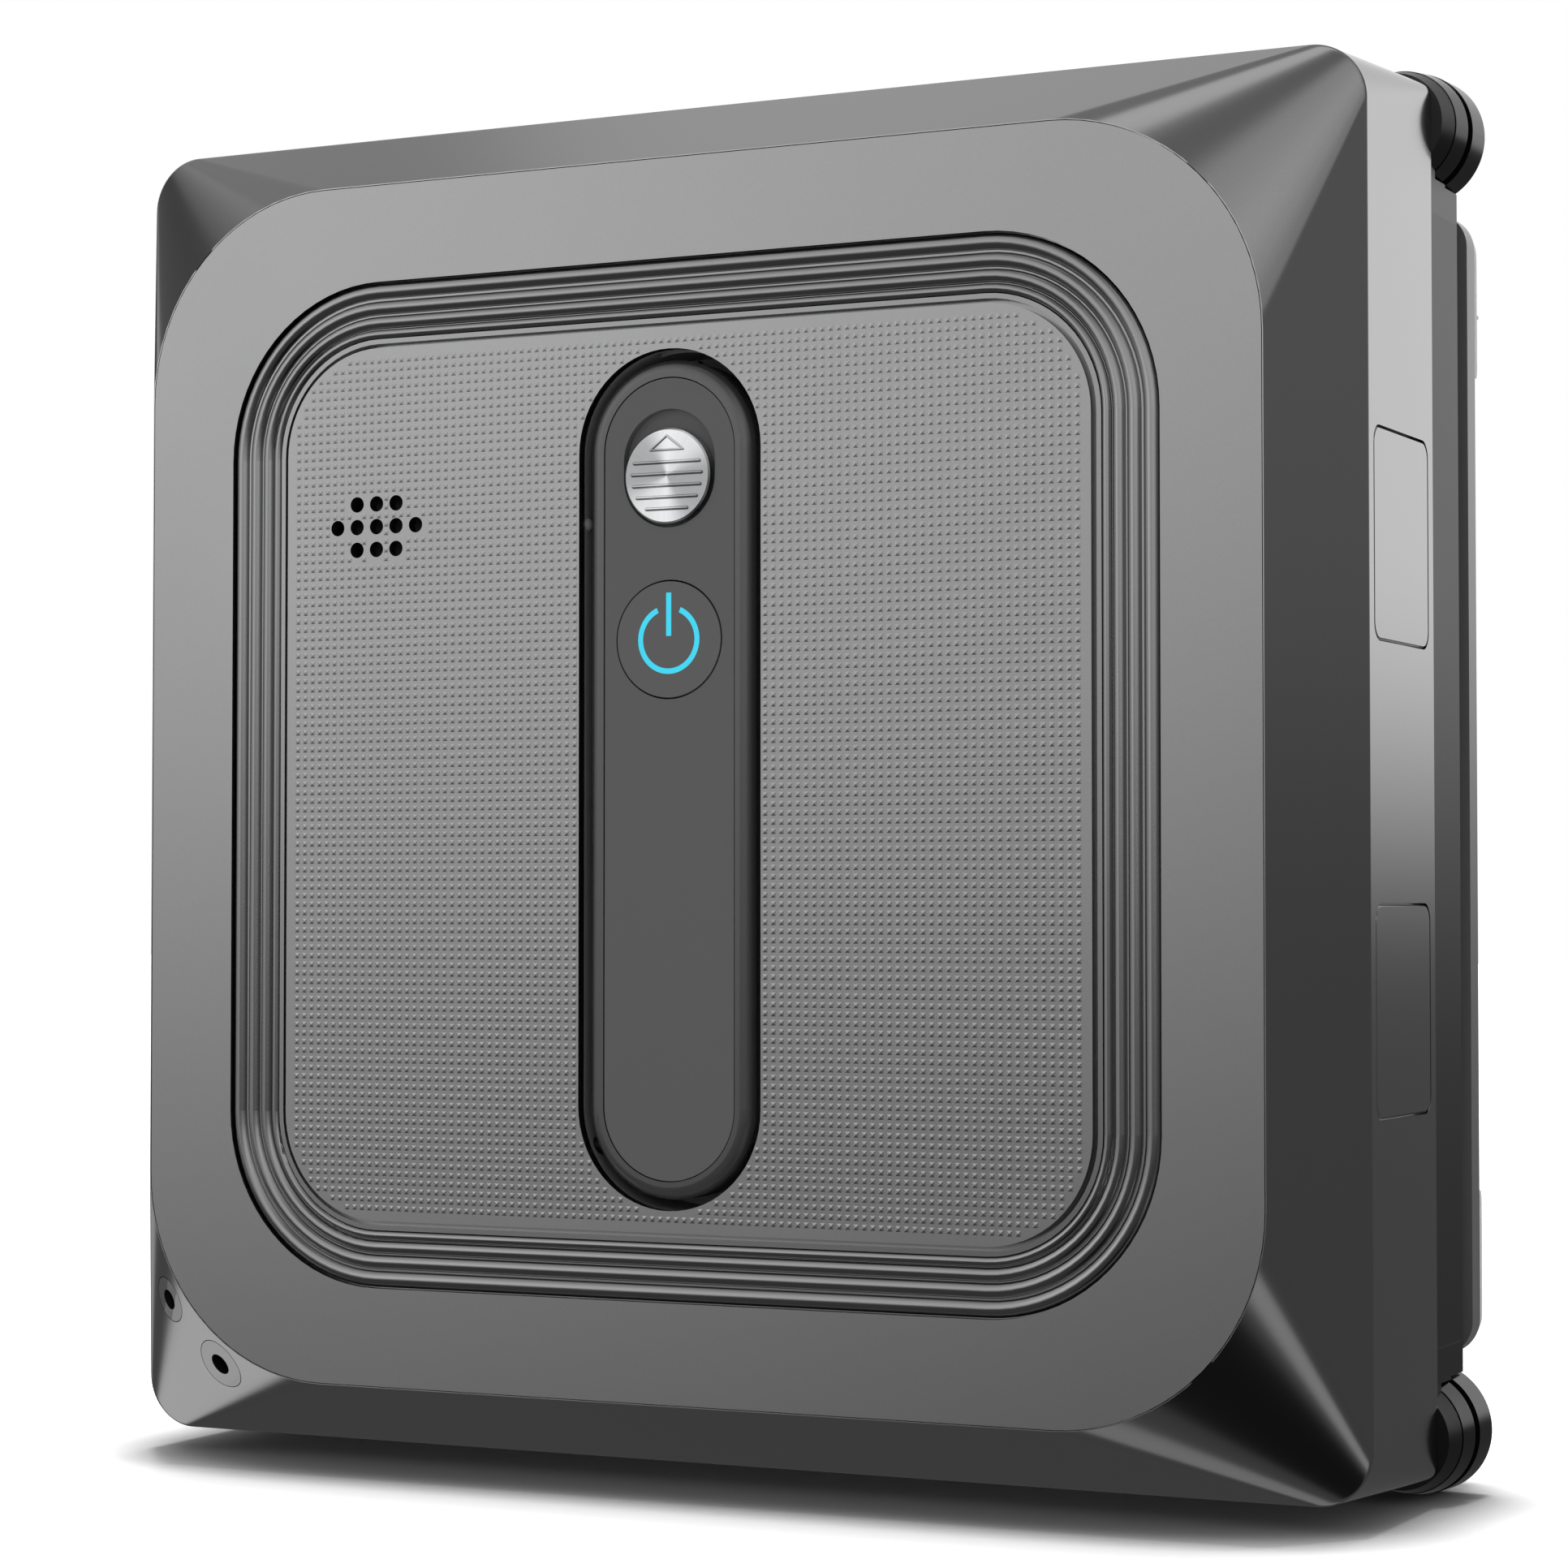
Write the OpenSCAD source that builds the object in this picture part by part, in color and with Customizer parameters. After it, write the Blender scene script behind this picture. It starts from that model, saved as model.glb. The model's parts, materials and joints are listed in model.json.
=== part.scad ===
// Window cleaning robot: a square suction robot that drives over glass on two tracks.
// It stands upright on its lower corner rollers, with the control face to the front.

/* [Body] */
// Width and height of the square body
body_w = 240; // [236:1:248]
// Corner radius of the body outline
body_r = 9.7; // [8:0.1:11]
// Width of the slope round the flat front face, seen from the front
bevel_w = 12; // [10:0.5:14]
// Corner radius of the flat front face
face_r = 37.2; // [35:0.1:40]
// Depth of the slope between the face and the side band
bevel_d = 17.5; // [15:0.5:20]
// Depth of the front casing
casing_d = 53.5; // [53:0.5:56]
// Wall of the casing and of the chassis
wall = 2.5; // [2:0.1:2.8]
// Thickness of the face plate and of the centre panel
skin_t = 2; // [1.7:0.1:2.2]
// How far the chassis sides lie inside the casing sides
chassis_inset = 0.6; // [0.3:0.1:1]

/* [Bead ring] */
// Width of the flat face outside the bead ring
face_rim = 17.85; // [17:0.05:18.5]
// Outer corner radius of the bead ring
ring_r = 30.9; // [29:0.1:33]
// Width of the outermost bead
bead_w = 3.15; // [2.8:0.05:3.3]
// Width of the plain rim inside the beads
rim_w = 0.85; // [0.6:0.05:1.2]
// Gap between the rim and the centre panel
panel_gap = 0.8; // [0.4:0.1:1]

/* [Handle] */
// Width of the handle well
well_w = 35.5; // [34.5:0.5:37]
// Width of the ledge inside the bead ring, which ends at the handle well
ring_ledge = 2.45; // [2:0.05:3]
// Depth of the handle well
well_d = 15; // [14.5:0.5:16]
// Gap between the handle and its well
handle_gap = 1.85; // [1.5:0.05:2]
// Depth of the handle
handle_d = 8; // [8:0.1:8.5]
// Radius of the rounded front edge of the handle
handle_edge_r = 2.2; // [1.6:0.1:2.6]
// Width of the control strip let into the handle
strip_w = 25.2; // [25:0.1:25.8]
// Radius of the hinge pin
hinge_pin_r = 1.5; // [1.2:0.1:1.5]
// Height of the hinge pin over the lower end of the handle
pivot_up = 8.7; // [8:0.1:9]

/* [Controls] */
// Diameter of the power button
button_d = 20.1; // [18:0.1:20.5]
// Distance from the middle of the slider down to the middle of the button
button_step = 28.3; // [26:0.1:30]
// Travel of the power button
button_travel = 0.8; // [0.5:0.1:0.9]
// Diameter of the latch slider
slider_d = 16.6; // [15:0.1:17]
// Distance of the slider's middle from the upper end of the handle well
slider_end = 22.2; // [21:0.1:24]
// Travel of the latch slider
slider_travel = 2.8; // [2:0.1:3]
// Diameter of one speaker hole
speaker_hole_d = 2.8; // [2.2:0.1:3.2]
// Spacing of the speaker holes
speaker_pitch = 4.1; // [3.8:0.1:4.4]

/* [Side covers and sockets] */
// Depth of a side cover, from front to back
cover_d = 30.4; // [28:0.1:31]
// Height of a side cover
cover_h = 35.4; // [32:0.1:38]
// Height of a cover's middle over or under the middle of the body
cover_z = 39.4; // [38:0.1:42]
// Diameter of the power inlet's ring
socket_d = 8.6; // [8:0.1:9]
// Radius of the power inlet's hole
socket_bore_r = 1.95; // [1.6:0.05:2.2]
// Diameter of the safety rope anchor's ring
anchor_d = 10; // [9:0.1:10.5]
// Radius of the safety rope anchor's hole
anchor_bore_r = 2.15; // [1.8:0.05:2.4]

/* [Rear] */
// Depth of the rear chassis
chassis_d = 17.5; // [17:0.1:18]
// Depth of the plinth between the chassis and the base plate
plinth_d = 6.5; // [6.4:0.1:8]
// Thickness of the base plate
plate_t = 4.7; // [4:0.1:5]
// Thickness of the cleaning pad
pad_t = 4.3; // [4.2:0.1:5]
// How far the base plate lies inside the body sides
plate_inset = 0.7; // [0.5:0.1:1.5]
// Size of the corner notches of the base plate
plate_notch = 17.8; // [17:0.1:20]
// Corner radius of the base plate and the pad
plate_r = 6.4; // [5:0.1:7]

/* [Corner rollers] */
// Radius of a corner roller at its rear rim
roller_r = 11.3; // [11:0.1:11.8]
// How far a roller stands out past the body sides
roller_out = 4.4; // [4:0.1:5]
// Radius of a roller pin
roller_pin_r = 2; // [1.8:0.1:2.4]

/* [Drive] */
// Distance of each track's middle from the middle of the body, as a share of half its width
track_share = 0.61; // [0.6:0.005:0.62]
// Width of a track
track_w = 24; // [20:0.5:24]
// Distance between the two axles of a track, as a share of the width of the body
wheelbase_share = 0.44; // [0.42:0.005:0.44]
// Radius of a track pulley
pulley_r = 13.7; // [13:0.1:13.7]
// Thickness of the track belt without its lugs
belt_t = 2; // [1.8:0.1:2.2]
// Height of the track lugs
lug_h = 1.5; // [1.2:0.1:1.6]
// Tooth module of the drive gears
gear_module = 0.8; // [0.78:0.01:0.8]
// Teeth of the drive gear
drive_teeth = 18; // [18:1:18]
// Teeth of the motor pinion
pinion_teeth = 12; // [12:1:12]
// Radius of the track axles
axle_r = 2; // [1.8:0.1:2.2]

/* [Suction fan] */
// Room between the impeller and each track frame
fan_room = 16.7; // [16:0.1:18]
// Height of the impeller blades
blade_h = 17; // [15:0.5:17]
// Number of impeller blades
blade_count = 11; // [7:1:13]
// Radius of the impeller's eye, as a share of the impeller's
eye_share = 0.588; // [0.54:0.002:0.6]
// Radius of the fan shaft
fan_shaft_r = 2; // [1.8:0.1:2.4]

/* [Hidden] */

// Facets of round forms, and of the outlines of the sloped casing, and the thickness of its slices
$fn = 96;
loft_fn = 64;
slice_t = 0.01;
// Overrun of every cut past the face that it opens
over = 1;
// Clearance round fixed pieces, between parted pieces, and of a shaft in its bore
fit_gap = 0.15;
part_gap = 0.3;
run_gap = 0.05;
seat_gap = 0.02;

// Half sizes of the body and the places of its layers along the depth
body_half = body_w / 2;
face_w = body_w - 2 * bevel_w;
face_half = face_w / 2;
chassis_y = casing_d;
chassis_rear = casing_d + chassis_d;
floor_y = chassis_rear - wall;
plate_y = chassis_rear + plinth_d;
plate_rear = plate_y + plate_t;
pad_rear = plate_rear + pad_t;

// Casing: the deck that carries the ring and the screw posts
ring_seat_t = 1.5;
ring_t = skin_t + ring_seat_t;
deck_t = 2.5;
deck_y = ring_t + deck_t;
deck_lip = 6;
ring_flange = 3.85;
cavity_out = 1;
cavity_front_half = face_half + cavity_out;
cavity_round = 12.6;
cavity_front_r = face_r - cavity_round;
post_in = 34;
post_x = body_half - post_in;
post_r = 4;
screw_r = 1.5;
screw_head_r = 3;
screw_head_t = 1.8;
screw_l = 14;

// Wall of the handle well
well_wall = 2;

// Bead ring: the width of each bead as a share of the outermost one
bead_shares = [1, 0.889, 0.794, 0.556];
bead_steps = [for (i = [0 : len(bead_shares)]) bead_sum(i)];
ring_w = face_w - 2 * face_rim;
ring_c = ring_w / 2 - ring_r;
rim_outer_r = ring_r - bead_w * bead_steps[len(bead_shares)];
rim_inner_r = rim_outer_r - rim_w;
rim_sink = 0.4;
crease_d = 0.8;
ring_inner = ring_c + rim_inner_r - ring_ledge;
panel_r = rim_inner_r - panel_gap;
panel_half = ring_c + panel_r;

// Handle, its hinge and its latch
well_l = 2 * (ring_inner - fit_gap - well_wall);
slider_z = well_l / 2 - slider_end;
button_z = slider_z - button_step;
well_flange = 6.5;
well_flange_t = 1.5;
handle_w = well_w - 2 * handle_gap;
handle_l = well_l - 2 * handle_gap;
strip_l = handle_l - (handle_w - strip_w);
strip_gap = 0.2;
strip_sink = 0.1;
strip_t = 2.9;
handle_back = 1.5;
handle_floor = handle_d - handle_back;
strip_ledge = 1.5;
pivot_y = strip_t + hinge_pin_r + strip_gap;
pivot_z = pivot_up - handle_l / 2;
pivot_dz = (well_l - well_w) / 2 + pivot_z;
pin_seat_share = 0.8;
detent_r = 1.2;
detent_out = 0.85;
detent_y = 3.4;
detent_share = 0.302;
detent_z = detent_share * well_l;
bolt_w = 8;
bolt_t = 2;
bolt_tail = 5.3;
bolt_y = strip_t + part_gap;
stem_w = 4;
stem_l = 8;
slider_proud = 0.8;
slider_sink = 1.6;
grip_proud = 0.35;
grip_r = 0.55;
grip_in = 1.4;
grip_shares = [-0.62, -0.37, -0.12, 0.13, 0.38];
arrow_shares = [[-0.42, 0.48], [0.42, 0.48], [0, 0.8]];
button_wall = 1.5;
button_skin = 1.5;
button_depth = 4;
switch_stem_r = 2;
switch_stem_out = 0.4;
board_t = 0.9;
board_w = 20;
board_l = 26;
tact_w = 6;

// Speaker behind the centre panel
speaker_r = 14;
speaker_side = 3.25;
speaker_x = speaker_r + speaker_side - ring_inner;
speaker_up_share = 0.5888;
speaker_z = speaker_up_share * panel_half;
speaker_t = 6;
gasket_w = 2.5;
gasket_t = 1.5;

// Side covers, and the two round inserts in the lower left corner of the slope
cover_rear = 2.9;
cover_y = casing_d - cover_rear - cover_d / 2;
cover_t = 1.2;
cover_r = 3;
clip_w = 10;
insert_y = 3.45;
insert_spread = 14.6;
insert_l = 12;
insert_bore_l = 9;

// Slope of the bevel: how its half width, corner radius and corner centre change with depth
half_rate = (body_half - face_half) / bevel_d;
r_rate = (body_r - face_r) / bevel_d;
centre_rate = half_rate - r_rate;

// Rear chassis
lip_h = 3;
lip_t = 2;
seal_w = 1.2;
seal_in = 0.1;
corner_block = 22.4;
ear_front_r = 8.9;
ear_rear_r = 9.95;
ear_t = 4.3;
roller_c = body_half + roller_out - roller_r;
pocket_front_gap = 0.45;
pocket_gap = 0.4;
pocket_step = 6;

// Corner rollers: places along the depth, and radii as shares of the rear rim's
roller_l = 13.9;
roller_y = chassis_y + ear_t + part_gap;
band_shares = [0.895, 0.952, 0.845, 0.975];
groove_from = 4.9;
groove_w = 2;
rim_edge = 0.5;
pin_head_r = 4.2;
pin_head_t = 1.6;
pin_root = 3.3;

// Plinth, base plate and pad
plate_half = body_half - plate_inset;
plinth_inset = 3.3;
plinth_wall = 3;
duct_wall = 3;
rib_t = 3;
vent_w = 3.2;
vent_pitch = 8;
vent_count = 16;
vent_h = 4;
grille_t = 2.2;
grille_step_share = 0.16;
grille_bar = 1.6;
grille_rings = 5;
grille_spokes = 6;
grille_lip = 2;
window_margin = 1;
pad_gap = 0.3;
pad_side_w = 8;
pad_side_x = body_half - pad_side_w;
plate_screw_in = 28;
plate_screw_z = body_half - plate_screw_in;
plate_screw_l = 8;

// Tracks and their drive
belt_gap = 0.3;
pulley_y = pad_rear - lug_h - belt_t - belt_gap - pulley_r;
track_x = track_share * body_half;
wheelbase = wheelbase_share * body_w;
half_base = wheelbase / 2;
lug_pitch = 6;
lug_shares = [0.2, 0.3, 0.7, 0.8];
loop_r = pulley_r + belt_gap + belt_t;
loop_l = 2 * wheelbase + 2 * PI * loop_r;
lug_count = floor(loop_l / lug_pitch);
lug_step = loop_l / lug_count;
pad_track_side = 7;
pad_track_end = 1.7;
pad_window_x = track_x + track_w / 2 + pad_track_side;
pad_window_z = half_base + loop_r + lug_h + pad_track_end;
track_screw_step = 33;
plate_screw_x = track_x - track_screw_step;
pulley_side_gap = 1;
pulley_w = track_w - 2 * pulley_side_gap;
pulley_rim = 3;
pulley_web = 3;
pulley_hub_r = 4.6;
pulley_hole_r = 2.1;
pulley_holes = 5;
idler_bore_r = axle_r + run_gap;
frame_t = 2.5;
frame_side_gap = 3;
gear_w = 5;
gear_side_gap = 1.5;
gear_space = gear_w + 2 * gear_side_gap;
track_room = 1;
frame_in_x = track_x - track_w / 2 - gear_space;
frame_out_x = track_x + track_w / 2 + frame_side_gap;
frame_web_y = pulley_y - loop_r - lug_h - track_room - frame_t;
cheek_rear = 6.5;
frame_rear = pulley_y + cheek_rear;
cheek_end = 9;
frame_half = half_base + cheek_end;
flange_w = 4.5;
flange_half = 30;
gear_x = frame_in_x + gear_side_gap;
axle_out = 0.8;
motor_boss_r = 4;
motor_middle_gap = 14.7;
motor_l = frame_in_x - frame_t - motor_middle_gap;
motor_boss_l = 2;
motor_shaft_r = 1;
motor_shaft_in = 18;
motor_flat = 1;
motor_flat_share = 0.75;
pressure_angle = 20;
tooth_out_share = 0.8;
tooth_in_share = 1.1;
tooth_slack_share = 0.1;
drive_gear_r = gear_module * drive_teeth / 2;
pinion_r = gear_module * pinion_teeth / 2;
pinion_y = pulley_y - drive_gear_r - pinion_r;
motor_r = drive_gear_r + pinion_r - axle_r - part_gap;
drive_z = -half_base;

// Suction fan, its inlet and the duct behind it
impeller_r = frame_in_x - frame_t - fan_room;
eye_r = eye_share * impeller_r;
inlet_step = 4;
inlet_r = eye_r + inlet_step;
duct_r = inlet_r + duct_wall;
grille_r = duct_r + duct_wall;
grille_step = grille_step_share * grille_r;
inlet_ring_t = 2.5;
can_wall = 2;
can_gap = 4;
can_r = impeller_r + can_gap + can_wall;
fan_gap = 4;
shroud_t = 1.5;
fan_run = 2;
can_rear = floor_y - inlet_ring_t;
impeller_rear = can_rear - fan_gap;
impeller_y = impeller_rear - blade_h - 2 * shroud_t;
can_y = impeller_y - fan_run - can_wall;
hub_r = 6;
blade_t = 1.2;
blade_sweep = 58;
blade_in = 0.4;
blade_start_share = 0.45;
blade_steps = 10;
duct_out_l = 6;
duct_out_z = can_r + duct_out_l;
duct_out_w = 22;
fan_motor_r = 15;
fan_motor_l = 17;
fan_motor_flange = 3;
fan_motor_flange_t = 1.5;
fan_motor_hole_r = 8;
fan_motor_slots = 8;
fan_motor_slot_w = 2;
fan_motor_slot_deep = 1;
fan_motor_slot_from = 2;
fan_motor_slot_l = 11;
shaft_in_motor = 14;

// Boards and battery
board_room = 2.2;
board_gap = 1;
main_board_w = 2 * (frame_in_x - frame_t - flange_w - board_room);
main_board_h = 52;
main_board_t = 1.6;
main_board_z = duct_out_z + board_gap + main_board_h / 2;
standoff_h = 2.9;
standoff_r = 3;
standoff_in = 4;
// Parts on the main board: their sides as shares of its half sizes, then their height in board thicknesses
chip_shares = [[-0.25, 0.2, -0.25, 0.33, 1], [0.5, 0.77, 0.5, 0.83, 4], [-0.83, -0.5, 0.5, 0.83, 5],
    [0.34, 0.41, -0.5, 0, 1], [0.46, 0.53, -0.5, 0, 1], [0.58, 0.65, -0.5, 0, 1], [0.7, 0.77, -0.5, 0, 1]];
can_shares = [-0.67, -0.47, -0.27];
can_z_share = -0.5;
can_part_r = 3.6;
can_part_h = 9.6;
cell_r = 9.2;
cell_room = 17.7;
cell_l = 2 * (frame_in_x - frame_t - cell_room);
cell_pitch = 18.6;
battery_gap = 5;
battery_z = drive_z - motor_r - battery_gap - cell_pitch / 2 - cell_r;
battery_foot = 1;

// The whole robot stands on the floor, with the middle of its box over the origin
front_y = -slider_proud - grip_proud;
middle_y = (front_y + pad_rear) / 2;
floor_z = roller_c + roller_r;

function bead_sum(n) = n == 0 ? 0 : bead_shares[n - 1] + bead_sum(n - 1);
function slope_half(y) = face_half + half_rate * y;
function slope_r(y) = face_r + r_rate * y;

// Puts a piece that is drawn round the middle of the body on the floor
module stand() {
    translate([0, -middle_y, floor_z]) children();
}

// A flat outline seen from the front, given depth from y0 to y1
module slab(y0, y1) {
    translate([0, y1, 0]) rotate([90, 0, 0]) linear_extrude(y1 - y0) children();
}

// An outline seen along the width, with depth and height, given width from x0 to x1
module across(x0, x1) {
    translate([x0, 0, 0]) rotate([90, 0, 90]) linear_extrude(x1 - x0) children();
}

module rounded(w, h, r) {
    square([w - 2 * r, h], center = true);
    square([w, h - 2 * r], center = true);
    for (x = [-1, 1], z = [-1, 1]) translate([x * (w / 2 - r), z * (h / 2 - r)]) circle(r);
}

module stadium(w, l) {
    square([w, l - w], center = true);
    for (s = [-1, 1]) translate([0, s * (l - w) / 2]) circle(d = w);
}

// A round bar or hole along the depth
module rod(x, z, y0, y1, r) {
    translate([x, y1, z]) rotate([90, 0, 0]) cylinder(h = y1 - y0, r = r);
}

// A tapered round bar along the depth, r0 at y0 and r1 at y1
module cone(x, z, y0, y1, r0, r1) {
    translate([x, y1, z]) rotate([90, 0, 0]) cylinder(h = y1 - y0, r1 = r1, r2 = r0);
}

// A round bar or hole along the width
module pin(y, z, x0, x1, r) {
    translate([x0, y, z]) rotate([0, 90, 0]) cylinder(h = x1 - x0, r = r);
}

module box(x0, x1, y0, y1, z0, z1) {
    translate([x0, y0, z0]) cube([x1 - x0, y1 - y0, z1 - z0]);
}

module four_corners(c) {
    for (x = [-c, c], z = [-c, c]) translate([x, 0, z]) children();
}

module at_plate_screws() {
    for (x = [-1, 1], z = [-1, 1]) translate([x * plate_screw_x, 0, z * plate_screw_z]) children();
}

// One thin slice of a rounded square, the base of the sloped forms
module slice(y, half, r) {
    slab(y, y + slice_t) rounded(2 * half, 2 * half, r, $fn = loft_fn);
}

// The outer form of the casing: the slope, then the straight side band
module casing_form() {
    hull() {
        slice(0, face_half, face_r);
        slice(bevel_d - slice_t, body_half, body_r);
    }
    slab(bevel_d, casing_d) rounded(body_w, body_w, body_r, $fn = loft_fn);
}

module casing_cavity() {
    inner = body_half - wall;
    hull() {
        slice(deck_y, cavity_front_half, cavity_front_r);
        slice(bevel_d + wall / 2, inner, body_r - wall);
    }
    slab(bevel_d + wall / 2, casing_d + over) rounded(2 * inner, 2 * inner, body_r - wall, $fn = loft_fn);
}

// Places a piece on the slope at the lower left corner, its own +Z square to the surface
module on_slope(turn) {
    c = slope_half(insert_y) - slope_r(insert_y);
    r = slope_r(insert_y);
    n = [-cos(turn), -centre_rate * (cos(turn) + sin(turn)) - r_rate, -sin(turn)];
    translate([-c - r * cos(turn), insert_y, -c - r * sin(turn)])
        rotate([0, acos(n.z / norm(n)), atan2(n.y, n.x)]) children();
}

module front_shell() {
    stand() color("dimgray") difference() {
        union() {
            difference() {
                casing_form();
                casing_cavity();
            }
            four_corners(post_x) rod(0, 0, deck_y - over, floor_y, post_r);
        }
        plate = face_w - 2 * fit_gap;
        slab(-over, skin_t) rounded(plate, plate, face_r - fit_gap);
        seat = ring_w + 2 * ring_flange + 2 * fit_gap;
        slab(-over, ring_t) rounded(seat, seat, ring_r + ring_flange + fit_gap);
        open = seat - 2 * deck_lip;
        slab(-over, deck_y + over) rounded(open, open, ring_r + ring_flange + fit_gap - deck_lip);
        four_corners(post_x) rod(0, 0, floor_y - screw_l, floor_y + over, screw_r + seat_gap);
        on_slope(45 - insert_spread) translate([0, 0, -insert_l - over])
            cylinder(h = insert_l + 3 * over, d = socket_d + 2 * fit_gap);
        on_slope(45 + insert_spread) translate([0, 0, -insert_l - over])
            cylinder(h = insert_l + 3 * over, d = anchor_d + 2 * fit_gap);
        for (s = [-1, 1], z = [-1, 1]) cover_seat(s, z * cover_z);
    }
}

// The shallow seat of a side cover, and the hole for its clip
module cover_seat(side, z) {
    deep = body_half - cover_t - fit_gap;
    mirror([side < 0 ? 1 : 0, 0, 0]) {
        across(deep, body_half + over) translate([cover_y, z])
            rounded(cover_d + 2 * fit_gap, cover_h + 2 * fit_gap, cover_r + fit_gap);
        across(body_half - wall - over, deep + over) translate([cover_y, z])
            square(clip_w + 2 * fit_gap, center = true);
    }
}

module side_cover(side, z) {
    stand() color("gray") mirror([side < 0 ? 1 : 0, 0, 0]) {
        across(body_half - cover_t, body_half) translate([cover_y, z]) rounded(cover_d, cover_h, cover_r);
        across(body_half - wall, body_half - cover_t) translate([cover_y, z]) square(clip_w, center = true);
    }
}

module face_plate() {
    stand() color("darkgray") slab(0, skin_t) difference() {
        rounded(face_w - 4 * fit_gap, face_w - 4 * fit_gap, face_r - 2 * fit_gap);
        rounded(ring_w + 2 * fit_gap, ring_w + 2 * fit_gap, ring_r + fit_gap);
    }
}

// Cross-section of the bead ring: radius from the corner centre, and height over the face
module bead_profile() {
    translate([rim_inner_r - ring_ledge, -ring_t])
        square([ring_r + ring_flange - rim_inner_r + ring_ledge, ring_t - skin_t]);
    translate([rim_inner_r, -ring_t]) square([rim_w, ring_t - rim_sink]);
    translate([rim_inner_r, -ring_t]) square([ring_r - bead_w / 2 - rim_inner_r, ring_t - crease_d]);
    for (i = [0 : len(bead_shares) - 1]) {
        w = bead_w * bead_shares[i];
        inner = ring_r - bead_w * bead_steps[i + 1];
        translate([inner, -ring_t]) square([w, ring_t - w / 2]);
        translate([inner + w / 2, -w / 2]) circle(w / 2);
    }
}

module face_ring() {
    stand() color("gray") rotate([90, 0, 0]) for (i = [0 : 3]) rotate([0, 0, 90 * i]) {
        translate([ring_c, ring_c, 0]) rotate_extrude(angle = 90) bead_profile();
        translate([ring_c, ring_c, 0]) rotate([90, 0, 0]) linear_extrude(2 * ring_c) bead_profile();
    }
}

module speaker_holes() {
    for (row = [-1 : 1], i = [-2 : 2])
        if (row == 0 || abs(i) < 2)
            translate([speaker_x + i * speaker_pitch, speaker_z + row * speaker_pitch])
                circle(d = speaker_hole_d, $fn = 32);
}

module centre_panel() {
    stand() color("darkgray") slab(0, skin_t) difference() {
        rounded(2 * panel_half, 2 * panel_half, panel_r);
        stadium(well_w, well_l);
        speaker_holes();
    }
}

module handle_well() {
    stand() color("black") {
        difference() {
            union() {
                slab(skin_t, skin_t + well_flange_t) intersection() {
                    stadium(well_w + 2 * well_flange, well_l + 2 * well_flange);
                    square([well_w + 2 * well_flange, well_l + 2 * well_wall], center = true);
                }
                slab(skin_t, well_d + well_wall) stadium(well_w + 2 * well_wall, well_l + 2 * well_wall);
            }
            slab(0, well_d) stadium(well_w, well_l);
            pin(pivot_y, pivot_z, -well_w, well_w, hinge_pin_r + seat_gap);
            slack = 2 * part_gap;
            box(-bolt_w / 2 - slack, bolt_w / 2 + slack, bolt_y - slack, bolt_y + bolt_t + slack,
                well_l / 2 - over, well_l / 2 + well_wall + well_flange);
        }
        for (s = [-1, 1]) translate([s * (well_w / 2 + detent_r - detent_out), detent_y, detent_z])
            sphere(detent_r, $fn = 32);
    }
}

module handle_hinge_pin() {
    seat = well_w / 2 + pin_seat_share * well_wall;
    half = sqrt(seat * seat - pivot_dz * pivot_dz);
    stand() color("silver") pin(pivot_y, pivot_z, -half, half, hinge_pin_r);
}

// Half of a cross-section with a rounded front edge: distance from the middle, and depth
module edge_profile(half, d, r) {
    square([half - r, d]);
    square([half, d - r]);
    translate([half - r, d - r]) circle(r);
}

// A long round-ended bar with its front edge rounded all the way round
module soft_bar(w, l, d, r) {
    c = (l - w) / 2;
    translate([0, d, 0]) rotate([90, 0, 0]) {
        translate([0, c, 0]) rotate_extrude(angle = 180) edge_profile(w / 2, d, r);
        translate([0, -c, 0]) rotate([0, 0, 180]) rotate_extrude(angle = 180) edge_profile(w / 2, d, r);
        translate([0, c, 0]) rotate([90, 0, 0]) linear_extrude(2 * c) {
            edge_profile(w / 2, d, r);
            mirror([1, 0]) edge_profile(w / 2, d, r);
        }
    }
}

module handle_frame() {
    seat_w = strip_w + 2 * strip_gap;
    hollow = strip_w - 2 * strip_ledge;
    slack = part_gap;
    stand() color("black") difference() {
        soft_bar(handle_w, handle_l, handle_d, handle_edge_r);
        slab(-over, strip_t) stadium(seat_w, handle_l - handle_w + seat_w);
        slab(strip_t - over, handle_floor) stadium(hollow, handle_l - handle_w + hollow);
        pin(pivot_y, pivot_z, -well_w, well_w, hinge_pin_r + run_gap);
        box(-bolt_w / 2 - slack, bolt_w / 2 + slack, bolt_y - slack, bolt_y + bolt_t + slack,
            slider_z + stem_l, handle_l / 2 + over);
    }
}

module control_strip() {
    recess_w = slider_d + 4 * part_gap;
    stand() color("dimgray") difference() {
        slab(strip_sink, strip_t) stadium(strip_w, strip_l);
        rod(0, button_z, -over, strip_t + over, button_d / 2 + part_gap);
        slab(-over, slider_sink) translate([0, slider_z + slider_travel / 2])
            stadium(recess_w, recess_w + slider_travel);
        box(-stem_w / 2 - part_gap, stem_w / 2 + part_gap, 0, strip_t + over,
            slider_z - stem_l / 2 - part_gap, slider_z + stem_l / 2 + slider_travel + part_gap);
    }
}

module switch_board() {
    stand() color("darkgreen") {
        box(-board_w / 2, board_w / 2, handle_floor - board_t, handle_floor,
            button_z - board_l / 2, button_z + board_l / 2);
        top = button_depth + switch_stem_out + button_travel + run_gap;
        box(-tact_w / 2, tact_w / 2, top, handle_floor - board_t,
            button_z - tact_w / 2, button_z + tact_w / 2);
    }
}

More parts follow.
